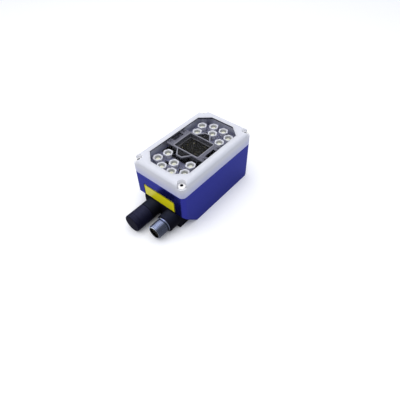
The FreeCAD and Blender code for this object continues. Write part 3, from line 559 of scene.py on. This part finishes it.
# Painted light and shade: dark low on the right, bright up and to the left.
painted_light_and_shade = map_range(towards_light, shade_until, highlight_from, shade_share, 1.0, "SMOOTHSTEP")
set_inputs(nickel.node_tree.nodes["surface"], {"Color": painted_light_and_shade})
# Painted shade in the bore and at the thread's root, a painted highlight on the front rim.
crest_tone, bore_shade_tone = (0.42, 0.48, 0.70), (0.016, 0.019, 0.024)
rim_highlight_tone, groove_shade_tone = (0.64, 0.70, 0.84), (0.16, 0.19, 0.29)
ring_tones(nickel, [(0.0, crest_tone), (0.70, bore_shade_tone), (0.737, rim_highlight_tone), (0.83, groove_shade_tone),
                    (0.93, crest_tone)], "CONSTANT")
print("nickel is pale from", round(highlight_from / MM, 1), "mm off its axis, up and to the left")

# %% [markdown]
# ## What shows behind the window
# Behind the pane lie a lilac-grey circuit board, the lamps in their bright cups, and a dark grey
# plastic shroud around the camera. Masks on height paint the shroud's light and shade: its raised rims
# carry a painted highlight as thin pale lines, its well's walls and all below the well's floor get
# painted shade, and the floor, the lip and the plate keep lighter tones. The two long slots beside the
# camera get painted shade, by a mask on where they lie.

# %% Shroud
well_depth = 4.0 * MM
rim_height = 0.26 * MM
hair = 0.06 * MM
slot_inset = 3.17 * MM
slot_half_x, slot_half_y = 2.17 * MM, 5.2 * MM
shroud_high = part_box("camera_shroud")[1]
well_floor = shroud_high.z - well_depth
# Painted shade below the well's floor and on its walls, a painted highlight on the rims.
shroud_light_and_shade_levels = [(well_floor - hair, (0.125, 0.125, 0.13)),
                 (well_floor + rim_height + hair, (0.080, 0.082, 0.092)),
                 (shroud_high.z - 2 * rim_height, (0.16, 0.16, 0.195)),
                 (shroud_high.z - rim_height / 2, (0.31, 0.31, 0.35))]
shroud = add_finish("shroud_plastic", (0.012, 0.012, 0.010), 0.45, 0.25, 0.012, tone=0.2, tone_mm=5.0,
                    Specular_IOR_Level=0.15)
shroud_axes = object_axes(shroud.node_tree)
for painted_level, colour in shroud_light_and_shade_levels:
    mix_colour(shroud, math_node("GREATER_THAN", shroud_axes["Z"], painted_level), colour)
sideways = math_node("ABSOLUTE", shroud_axes["X"])
from_slot = math_node("SUBTRACT", sideways, shroud_high.x - slot_inset)
# Painted shade in the two slots.
slot_shade = [under_limit(math_node("ABSOLUTE", distance), half + hair)
           for distance, half in [(from_slot, slot_half_x), (shroud_axes["Y"], slot_half_y)]]
mix_colour(shroud, both(*slot_shade), (0.010, 0.010, 0.013))
print("floor of the well at", round(well_floor / MM, 2), "mm")

# %% [markdown]
# ## The boards
# The lamps' board has a greyish lilac solder mask. In a band around the camera it is painted black:
# the shade that the shroud casts there. The boards deeper inside are the usual green. Most other
# pieces in there need no mask at all: a colour, a gloss and a grain of their own are enough.

# %% Boards and small plastics
shade_band_half = 16.0 * MM
lamp_board = add_finish("illuminator_laminate", (0.24, 0.245, 0.36), 0.40, 0.5, 0.004, tone=0.5,
                        tone_mm=3.0, Specular_IOR_Level=0.2)
from_middle = math_node("ABSOLUTE", object_axes(lamp_board.node_tree)["Y"])
# Painted shade in the band around the camera, where the shroud casts it.
mix_colour(lamp_board, under_limit(from_middle, shade_band_half), (0.012, 0.012, 0.018))
add_finish("board_laminate", (0.012, 0.085, 0.035), 0.38, 0.5, 0.004, tone=0.3, tone_mm=3.0)
add_finish("turned_aluminium", (0.62, 0.63, 0.65), 0.32, 0.2, 0.006, tone=0.15, tone_mm=3.0, Metallic=1.0)
add_finish("black_plastic", (0.006, 0.006, 0.007), 0.4, 0.25, 0.01, tone=0.25, tone_mm=3.0,
           Specular_IOR_Level=0.1)
add_finish("chip_ceramic", (0.02, 0.02, 0.022), 0.5, 0.2, 0.006, tone=0.2, tone_mm=4.0)
add_finish("pad_silicone", (0.30, 0.33, 0.36), 0.7, 0.3, 0.01, tone=0.15, tone_mm=4.0)
add_finish("led_chip", (0.80, 0.66, 0.22), 0.45, 0.2, 0.004, tone=0.2, tone_mm=1.0)
add_finish("panel_film", (0.02, 0.02, 0.024), 0.5, 0.25, 0.008, tone=0.2, tone_mm=5.0)
add_finish("button_rubber", (0.09, 0.09, 0.10), 0.6, 0.3, 0.012, tone=0.2, tone_mm=2.0)
add_finish("light_pipe", (0.62, 0.66, 0.64), 0.25, 0.3, 0.004, tone=0.15, tone_mm=1.0)
add_finish("black_anodised", (0.032, 0.032, 0.026), 0.50, 0.2, 0.004, tone=0.3, tone_mm=3.0, IOR=1.1)
add_finish("lens_glass", (0.026, 0.026, 0.020), 0.12, 2.0, 0.001, tone=0.3, tone_mm=4.0, gloss=0.04, IOR=1.1)
for slot in ("black_anodised", "lens_glass"):
    specks_over(finishes[slot], (0.26, 0.22, 0.11), speck_mm=1.1, threshold=0.78)
print("finishes so far", len(finishes))

# %% [markdown]
# ## The finish of the lamp optics
# Each lamp has a moulded optic: a broad white rim, a short dark wall with painted shade where the
# light is turned round inside, and at its foot the pale yellow lamp. The ramp over the radius gives all
# three.

# %% Optic finish
clear_optic = add_finish("led_optic", (0.98, 0.98, 1.0), 0.30, 0.9, 0.004, tone=0.5, tone_mm=2.6,
                         Specular_IOR_Level=0.3)
# The dark stops from 0.44 to 0.60 paint the shade on the optic's inner wall.
ring_stops = [(0.0, (0.86, 0.86, 0.52)), (0.30, (0.90, 0.90, 0.74)), (0.40, (0.88, 0.88, 0.82)),
              (0.44, (0.34, 0.34, 0.30)), (0.60, (0.40, 0.40, 0.37)), (0.66, (0.70, 0.71, 0.73)),
              (0.72, (0.84, 0.84, 0.86))]
ring_tones(clear_optic, ring_stops, "LINEAR")
print("optic ramp stops", len(ring_stops))

# %% [markdown]
# ## The pane
# The window is a thin coated pane. A full glass shader bends light that a flat pane hardly bends
# and makes the inside noisy. A see-through sheet is plainer: a low alpha lets most of the light
# straight through, and what is left is a weak mirror with a few smears. Seen from a low angle a
# real pane mirrors more, so a Layer Weight node raises the alpha there.

# %% Coated pane
pane_clearness = 0.003
pane_smears = 0.008
smear_scale = 70.0
mirror_blend, mirror_share = 0.06, 0.4
coating = add_finish("window_glass", (0.45, 0.45, 0.58), 0.04, 1.2, 0.0005, tone=0.1, tone_mm=14.0,
                     gloss=0.03, Metallic=1.0)
coating.surface_render_method = "BLENDED"
pane_tree = coating.node_tree
low_angle = add_node(pane_tree, "ShaderNodeLayerWeight", {"Blend": mirror_blend}).outputs["Fresnel"]
smears = math_node("MULTIPLY", noise_on_object(pane_tree, smear_scale, 4), pane_smears)
veil = math_node("ADD", smears, pane_clearness)
mirror = math_node("MULTIPLY", low_angle, mirror_share)
pane_alpha = math_node("ADD", veil, mirror)
set_inputs(pane_tree.nodes["Principled BSDF"], {"Alpha": pane_alpha})
print("pane alpha from", pane_clearness)


# %% [markdown]
# ## Handing out the finishes
# Each solid's record names the slot that its finish belongs to, so one loop dresses them all.

# %% Dress the solids
def dress(solid, material):
    """Gives every material slot of a solid the same finish."""
    for material_slot in solid.material_slots:
        material_slot.material = material


slot_of = {row["node"]: row["material_slot"] for row in frame["record"]["subparts"]}
for name, solid in nodes.items():
    dress(solid, finishes[slot_of[name]])
print("dressed", len(nodes), "solids in", len(set(slot_of.values())), "finishes")

# %% [markdown]
# ## Painted shade in the sockets
# The screws of the frame and of the shroud have a hexagon socket. Even on a bright screw the socket
# looks black, because it is deep, so it gets painted shade. Four equal screws stand evenly about a
# middle, so one distance from the nearest screw's axis tells socket from head for all of them, and a
# level just under the head's top keeps its bright ring. The frame's screws are bright steel, the
# shroud's dull zinc.

# %% Screws with sockets
corner_socket_radius = 1.45 * MM
small_head_radius, small_socket_radius = 1.75 * MM, 0.85 * MM


def socket_finish(name, node, metal, head_radius, socket_radius, **sockets):
    """A screw finish with painted shade inside the sockets, which start just below the head's top."""
    material = finish(name, metal, 0.42, 0.20, 0.004, tone=0.2, tone_mm=2.5, **sockets)
    tree = material.node_tree
    in_reach = under_limit(distance_to_screws(tree, node, head_radius), socket_radius)
    head_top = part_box(node)[1].z
    below_top = under_limit(object_axes(tree)["Z"], head_top - hair / 2)
    # Painted shade in each socket, below the head's bright ring.
    mix_colour(material, both(in_reach, below_top), (0.010, 0.010, 0.012))
    dress(nodes[node], material)
    print(name, "is dark within", round(socket_radius / MM, 2), "mm of each screw's middle")


socket_finish("socket_steel", "bezel_screws", (0.80, 0.80, 0.81), corner_head_radius, corner_socket_radius,
              Metallic=1.0)
socket_finish("zinc_grey", "shroud_screws", (0.13, 0.13, 0.165), small_head_radius, small_socket_radius,
              Specular_IOR_Level=0.2)


# %% [markdown]
# ## Turning a profile
# Connectors and lamp optics are round, so half of their cross-section says everything. Blender has
# a Screw modifier for that, but a short function with a ring of points for each corner of the
# profile keeps the mesh at the origin and can carry the radius along as an attribute.

# %% A small lathe
def lathe(name, profile, segments, axis_turn, place, lobes=0, lobe_depth=0.0, lobed_from=1.0):
    """Closed profile of (radius, height) pairs, turned about Z, then turned and moved into place.

    Corners that lie farther out than the share lobed_from of the radius get shallow lobes."""
    work = bmesh.new()
    ring_layer = work.verts.layers.float.new("ring")
    widest = max(radius for radius, height in profile)
    rings = []
    for radius, height in profile:
        count = segments if radius > 0 else 1
        angles = [2 * math.pi * i / count for i in range(count)]
        dip = lobe_depth if radius >= lobed_from * widest else 0.0
        reach = [radius - dip * (1 - math.cos(lobes * a)) / 2 for a in angles]
        ring = [work.verts.new((r * math.cos(a), r * math.sin(a), height)) for r, a in zip(reach, angles)]
        for vertex in ring:
            vertex[ring_layer] = radius / widest
        rings.append(ring)
    for ring, following in zip(rings, rings[1:] + rings[:1]):
        for i in range(segments):
            corners = [ring[i % len(ring)], ring[(i + 1) % len(ring)],
                       following[(i + 1) % len(following)], following[i % len(following)]]
            corners = list(dict.fromkeys(corners))
            if len(corners) > 2:
                work.faces.new(corners)
    bmesh.ops.transform(work, matrix=Matrix.Translation(place) @ axis_turn.to_4x4(), verts=work.verts)
    bmesh.ops.recalc_face_normals(work, faces=work.faces)
    mesh = bpy.data.meshes.new(name)
    work.to_mesh(mesh)
    work.free()
    return mesh


upright = Matrix.Identity(3)
towards_connectors = Matrix.Rotation(math.radians(90), 3, "X")
print("lathe ready")


# %% [markdown]
# ## A place for Geometry Nodes
# Geometry Nodes repeat a shape or sweep it along a path. Every tree here has named inputs, ends in
# Realize Instances and Set Material, and is run once for each piece that it makes: the result is kept
# as a plain mesh, which is what an export can read.

# %% Helpers for geometry trees
def new_geometry_tree(name, inputs):
    """An empty tree with one geometry in, one out and the named inputs."""
    return new_group("GeometryNodeTree", name, {"Geometry": "Geometry", **inputs}, {"Geometry": "Geometry"})


def join_geometry(*pieces):
    """Several geometries as one."""
    join = add_node(pieces[0].id_data, "GeometryNodeJoinGeometry")
    for geometry in pieces:
        set_inputs(join, {"Geometry": geometry})
    return join.outputs["Geometry"]


def finish_tree(geometry, given, made):
    """Realize Instances and Set Material, the end of every tree."""
    tree = made.id_data
    realize = add_node(tree, "GeometryNodeRealizeInstances", {"Geometry": geometry})
    painted = add_node(tree, "GeometryNodeSetMaterial", {
        "Geometry": realize.outputs["Geometry"], "Material": given["Material"]}).outputs["Geometry"]
    set_inputs(made, {"Geometry": painted})
    return painted


def run_tree(name, tree, start_mesh, values):
    """Runs a tree on a mesh and keeps what comes out as a plain object at the origin."""
    start = new_object(name + "_start", start_mesh)
    modifier = start.modifiers.new("tree", "NODES")
    modifier.node_group = tree
    for socket in tree.interface.items_tree:
        if socket.in_out == "INPUT" and socket.name in values:
            modifier[socket.identifier] = values[socket.name]
    evaluated = start.evaluated_get(bpy.context.evaluated_depsgraph_get())
    mesh = bpy.data.meshes.new_from_object(evaluated)
    bpy.data.objects.remove(start)
    return new_object(name, mesh)


# %% [markdown]
# ## Threaded connector shells
# Each connector is a plated shell with a fine outside thread of one millimetre pitch. The shell
# is turned from its profile. The thread is a ridge that follows a helix: a spiral curve is swept
# with a four-sided profile, which leaves a sharp crest and a groove between the turns.

# %% The thread tree
thread_tree, given, made = new_geometry_tree("screw_thread", {
    "Turns": "Float", "Radius": "Float", "Length": "Float", "Ridge": "Float", "Place": "Vector",
    "Turn": "Vector", "Material": "Material"})
helix = add_node(thread_tree, "GeometryNodeCurveSpiral", {
    "Resolution": 64, "Rotations": given["Turns"], "Start Radius": given["Radius"],
    "End Radius": given["Radius"], "Height": given["Length"]})
steady = add_node(thread_tree, "GeometryNodeSetCurveNormal", {"Curve": helix.outputs["Curve"]}, mode="Z_UP")
ridge_profile = add_node(thread_tree, "GeometryNodeCurvePrimitiveCircle", {
    "Resolution": 4, "Radius": given["Ridge"]})
sweep = add_node(thread_tree, "GeometryNodeCurveToMesh", {
    "Curve": steady.outputs["Curve"], "Profile Curve": ridge_profile.outputs["Curve"], "Fill Caps": True})
move = add_node(thread_tree, "GeometryNodeTransform", {
    "Geometry": sweep.outputs["Mesh"], "Translation": given["Place"], "Rotation": given["Turn"]})
threaded = join_geometry(given["Geometry"], move.outputs["Geometry"])
finish_tree(threaded, given, made)
print("tree", thread_tree.name)

# %% Two connector shells
thread_pitch = 1.0 * MM
thread_ridge = 0.42 * MM
thread_radius = 6.0 * MM
thread_length = 9.9 * MM
turns_left_off = 0.5
collar_radius = 6.6 * MM
collar_thickness = 1.0 * MM
tail_radius = 6.4 * MM
bore_radius = 4.8 * MM
small_break = 0.13 * MM
shell_segments = 72


def connector_shell(node):
    """A turned shell with its thread, in place of the plain one."""
    low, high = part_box(node)
    length = high.y - low.y
    front = Vector(((low.x + high.x) / 2, low.y, (low.z + high.z) / 2))
    root_radius = thread_radius - thread_ridge
    collar_low = -thread_length
    collar_high = collar_low - collar_thickness
    profile = [(bore_radius + small_break, 0), (root_radius - 2 * small_break, 0),
               (root_radius, -2 * small_break), (root_radius, collar_low),
               (collar_radius - small_break, collar_low), (collar_radius, collar_low - small_break),
               (collar_radius, collar_high), (tail_radius, collar_high), (tail_radius, -length),
               (bore_radius, -length), (bore_radius, -small_break)]
    shell = lathe(node, profile, shell_segments, towards_connectors, front)
    turns = (thread_length - 2 * thread_ridge) / thread_pitch - turns_left_off
    helix_length = turns * thread_pitch
    start = front + Vector((0, thread_ridge + helix_length + small_break, 0))
    values = {"Turns": turns, "Radius": root_radius, "Length": helix_length, "Ridge": thread_ridge,
              "Place": start, "Turn": (math.radians(90), 0, 0), "Material": finishes["connector_nickel"]}
    piece = run_tree("threaded_" + node, thread_tree, shell, values)
    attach(piece, "connector_turret")
    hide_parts(node)
    return piece


for node in ("power_connector_shell", "network_connector_shell"):
    piece = connector_shell(node)
    print(piece.name, "faces", len(piece.data.polygons))

# %% [markdown]
# ## Lamp optics
# Fourteen equal optics stand in two fans around the camera. One is turned on the lathe, and a tree
# sets a copy of it on each place, so a change to the profile changes all of them.

# %% The placing tree
placing_tree, given, made = new_geometry_tree("set_on_points", {"Piece": "Object", "Material": "Material"})
pattern = add_node(placing_tree, "GeometryNodeObjectInfo", {"Object": given["Piece"]},
                   transform_space="ORIGINAL")
copies = add_node(placing_tree, "GeometryNodeInstanceOnPoints", {
    "Points": given["Geometry"], "Instance": pattern.outputs["Geometry"]})
finish_tree(copies.outputs["Instances"], given, made)
print("tree", placing_tree.name)

# %% Fourteen optics
optic_nodes = sorted(name for name in nodes if name.startswith("led_lens_"))
optic_low, optic_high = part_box(optic_nodes[0])
optic_radius = (optic_high.x - optic_low.x) / 2
optic_height = optic_high.z - optic_low.z
optic_segments = 48
foot_radius = 2.6 * MM
pocket_radius = 1.65 * MM
pocket_depth = 1.9 * MM
rim_depth = 0.8 * MM
rim_inner_radius = 2.82 * MM
dish_radius = 1.73 * MM
dish_depth = 2.0 * MM
dome_share, dome_shoulder, dome_height = 0.6, 0.22 * MM, 0.35 * MM
lobe_count, lobe_depth, lobed_from = 6, 0.39 * MM, 0.9
optic_profile = [
    (pocket_radius, -optic_height), (foot_radius, -optic_height), (optic_radius - small_break, -rim_depth),
    (optic_radius, -rim_depth + small_break), (optic_radius, -small_break), (optic_radius - small_break, 0),
    (rim_inner_radius + small_break, 0), (rim_inner_radius, -small_break),
    (dish_radius + small_break, -dish_depth), (dish_radius - small_break, -dish_depth),
    (dome_share * dish_radius, -dish_depth + dome_shoulder), (0, -dish_depth + dome_height),
    (0, pocket_depth - optic_height), (pocket_radius, pocket_depth - optic_height)]
optic_mesh = lathe("lamp_optic", optic_profile, optic_segments, upright, Vector((0, 0, 0)),
                   lobe_count, lobe_depth, lobed_from)
optic = bpy.data.objects.new("lamp_optic", optic_mesh)
places_mesh = bpy.data.meshes.new("optic_places")
places = []
for name in optic_nodes:
    low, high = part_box(name)
    places.append(((low.x + high.x) / 2, (low.y + high.y) / 2, high.z))
places_mesh.from_pydata(places, [], [])
optics = run_tree("lamp_optics", placing_tree, places_mesh, {"Piece": optic, "Material": clear_optic})
bpy.data.objects.remove(optic)
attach(optics, "reader_body")
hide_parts(*optic_nodes)
print("optics", len(places), "faces", len(optics.data.polygons))

# %% [markdown]
# ## Small parts on the lamps' board
# Between the lamps the board carries resistors: dark ceramic blocks with tinned ends. They stand
# on a grid wherever there is room. One is built in the tree from three boxes, a random value with
# a fixed seed turns about every second one, and an attribute tells the ends from the body, so that
# Set Material can give them different finishes after Realize Instances.

# %% The resistor tree
end_growth = 1.06
resistor_tree, given, made = new_geometry_tree("board_resistors", {
    "Length": "Float", "Width": "Float", "Height": "Float", "End": "Float", "Seed": "Int",
    "Material": "Material", "End Material": "Material"})


def resistor_box(length, grow):
    """A box of the given length, a little wider and higher where it is an end."""
    width, height = [math_node("MULTIPLY", given[label], grow) for label in ("Width", "Height")]
    size = add_node(resistor_tree, "ShaderNodeCombineXYZ", {"X": length, "Y": width, "Z": height})
    return add_node(resistor_tree, "GeometryNodeMeshCube", {"Size": size.outputs[0]}).outputs["Mesh"]


end_mesh = resistor_box(given["End"], end_growth)
to_end = math_node("MULTIPLY", given["Length"], 0.5)
ends = []
for side in (-1.0, 1.0):
    end_place = math_node("MULTIPLY", to_end, side)
    offset = add_node(resistor_tree, "ShaderNodeCombineXYZ", {"X": end_place})
    shift = add_node(resistor_tree, "GeometryNodeTransform", {
        "Geometry": end_mesh, "Translation": offset.outputs[0]})
    ends.append(shift.outputs["Geometry"])
mark = add_node(resistor_tree, "GeometryNodeStoreNamedAttribute", {
    "Geometry": join_geometry(*ends), "Name": "tinned_end", "Value": True},
    data_type="BOOLEAN", domain="FACE")
whole = join_geometry(resistor_box(given["Length"], 1.0), mark.outputs["Geometry"])
print("resistor built from", len(resistor_tree.nodes), "nodes")

# %% Turn and paint the resistors
# Inputs 4 and 5 of Random Value are the limits of its whole numbers, output 2 the number drawn.
quarters = add_node(resistor_tree, "FunctionNodeRandomValue", {4: 0, 5: 1, "Seed": given["Seed"]},
                    data_type="INT")
quarter_angle = math_node("MULTIPLY", quarters.outputs[2], math.pi / 2)
quarter_turn = add_node(resistor_tree, "ShaderNodeCombineXYZ", {"Z": quarter_angle})
copies = add_node(resistor_tree, "GeometryNodeInstanceOnPoints", {
    "Points": given["Geometry"], "Instance": whole, "Rotation": quarter_turn.outputs[0]})
painted = finish_tree(copies.outputs["Instances"], given, made)
is_end = add_node(resistor_tree, "GeometryNodeInputNamedAttribute", {"Name": "tinned_end"},
                  data_type="BOOLEAN")
paint_ends = add_node(resistor_tree, "GeometryNodeSetMaterial", {
    "Geometry": painted, "Selection": is_end.outputs["Attribute"], "Material": given["End Material"]})
set_inputs(made, {"Geometry": paint_ends.outputs["Geometry"]})
print("tree", resistor_tree.name)

# %% Set the resistors out
board_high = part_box("illuminator_board")[1]
resistor_height = 0.45 * MM
resistor_step = 2.5 * MM
resistor_columns, resistor_rows = 8, 15
keep_from_lamp = 3.8 * MM
keep_from_screw = 2.6 * MM
field_half_x = 19.5 * MM
field_start_y, field_end_y = 18.2 * MM, 36.0 * MM
field_slant = 33.4 * MM
board_screw_x, board_screw_y = 7.37 * MM, 23.91 * MM
screw_places = [(sx * board_screw_x, sy * board_screw_y) for sx in (-1, 1) for sy in (-1, 1)]
kept_free = [(px, py, keep_from_lamp) for px, py, pz in places]
kept_free += [(px, py, keep_from_screw) for px, py in screw_places]
resistor_places = []
for column in range(-resistor_columns, resistor_columns + 1):
    for row in range(-resistor_rows, resistor_rows + 1):
        x, y = column * resistor_step, row * resistor_step
        on_field = abs(x) < field_half_x and field_start_y < abs(y) < field_end_y
        on_field = on_field and slant_x * abs(x) + slant_y * abs(y) < field_slant
        if on_field and all(math.hypot(x - px, y - py) > gap for px, py, gap in kept_free):
            resistor_places.append((x, y, board_high.z + resistor_height / 2))
resistor_points = bpy.data.meshes.new("resistor_points")
resistor_points.from_pydata(resistor_places, [], [])
tin = finish("tinned_ends", (0.60, 0.60, 0.58), 0.35, 0.2, 0.003, tone=0.2, tone_mm=1.0, Metallic=1.0)
resistors = run_tree("board_resistors", resistor_tree, resistor_points, {
    "Length": 1.0 * MM, "Width": 0.65 * MM, "Height": resistor_height, "End": 0.3 * MM, "Seed": 7,
    "Material": finishes["chip_ceramic"], "End Material": tin})
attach(resistors, "reader_body")
print("resistors", len(resistor_places))


# %% [markdown]
# ## The label's edge
# The yellow plate on the connector end has a thin dark line round it. It is a flat frame of its own
# that lies a hair above the plate.

# %% Label edge
def mesh_piece(name, points, faces, material):
    """A piece made of its points and faces."""
    mesh = bpy.data.meshes.new(name)
    mesh.from_pydata(points, [], faces)
    mesh.materials.append(material)
    return new_object(name, mesh)


line_width = 0.75 * MM
line_lift = 0.02 * MM
label_low, label_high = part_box("end_label")
line_y = label_low.y - line_lift
outer = [(label_low.x, label_low.z), (label_high.x, label_low.z), (label_high.x, label_high.z),
         (label_low.x, label_high.z)]
corner_signs = [(1, 1), (-1, 1), (-1, -1), (1, -1)]
inner = [(x + sx * line_width, z + sz * line_width) for (x, z), (sx, sz) in zip(outer, corner_signs)]
line_points = [(x, line_y, z) for x, z in outer + inner]
line_faces = [(i, (i + 1) % 4, (i + 1) % 4 + 4, i + 4) for i in range(4)]
label_ink = finish("label_ink", (0.006, 0.006, 0.014), 0.5, 0.3, 0.003, tone=0.2, tone_mm=2.0,
                   Specular_IOR_Level=0.05)
label_edge = mesh_piece("label_edge", line_points, line_faces, label_ink)
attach(label_edge, "reader_body")
print("label line", round(line_width / MM, 2), "mm")

# %% [markdown]
# ## A dark sheet for the shade in the well
# Deep in the well a dark see-through sheet stands in for the shade there: it evens out the shadows and
# hides the lens, so from outside one sees an even olive dark with pale specks on it. Its outline is a
# rectangle with round corners that fills the opening. A Bevel modifier could break its edges. Four rings
# of points, the first and the last drawn in a little, give the thickness and the broken edges at once.

# %% Dark sheet for the well's shade
shade_sheet_half_x, shade_sheet_half_y = 11.07 * MM, 8.73 * MM
shade_sheet_corner = 1.03 * MM
shade_sheet_gap = 0.3 * MM
shade_sheet_thickness = 0.6 * MM
corner_steps = 6


def rounded_outline(inset):
    """Points round the sheet's outline, drawn in by an inset."""
    corner = shade_sheet_corner - inset
    points = []
    for quarter, (side_x, side_y) in enumerate(corner_signs):
        for step in range(corner_steps + 1):
            angle = math.pi / 2 * (quarter + step / corner_steps)
            points.append((side_x * (shade_sheet_half_x - shade_sheet_corner) + corner * math.cos(angle),
                           side_y * (shade_sheet_half_y - shade_sheet_corner) + corner * math.sin(angle)))
    return points


shade_sheet_top = well_floor - shade_sheet_gap
shade_sheet_bottom = shade_sheet_top - shade_sheet_thickness
shade_sheet_rings = [(small_break, shade_sheet_bottom), (0, shade_sheet_bottom + small_break),
                (0, shade_sheet_top - small_break), (small_break, shade_sheet_top)]
shade_sheet_points = [(x, y, z) for inset, z in shade_sheet_rings for x, y in rounded_outline(inset)]
ring_count = len(shade_sheet_points) // len(shade_sheet_rings)
shade_sheet_faces = []
for ring in range(len(shade_sheet_rings) - 1):
    for i in range(ring_count):
        first, second = ring * ring_count + i, ring * ring_count + (i + 1) % ring_count
        shade_sheet_faces.append((first, second, second + ring_count, first + ring_count))
shade_sheet_faces += [tuple(reversed(range(ring_count))), tuple(range(3 * ring_count, 4 * ring_count))]
# The sheet's dark colour and alpha are painted shade for the deep well.
shade_sheet_finish = finish("painted_shade_sheet", (0.016, 0.016, 0.013), 0.16, 2.0, 0.001, tone=0.4, tone_mm=4.0, gloss=0.04,
                IOR=1.1, Alpha=0.78)
specks_over(shade_sheet_finish, (0.36, 0.32, 0.18), speck_mm=1.2, threshold=0.775)
shade_sheet_finish.surface_render_method = "BLENDED"
camera_filter = mesh_piece("camera_filter", shade_sheet_points, shade_sheet_faces, shade_sheet_finish)
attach(camera_filter, "reader_body")
print("filter", round(2 * shade_sheet_half_x / MM, 1), "by", round(2 * shade_sheet_half_y / MM, 1), "mm")
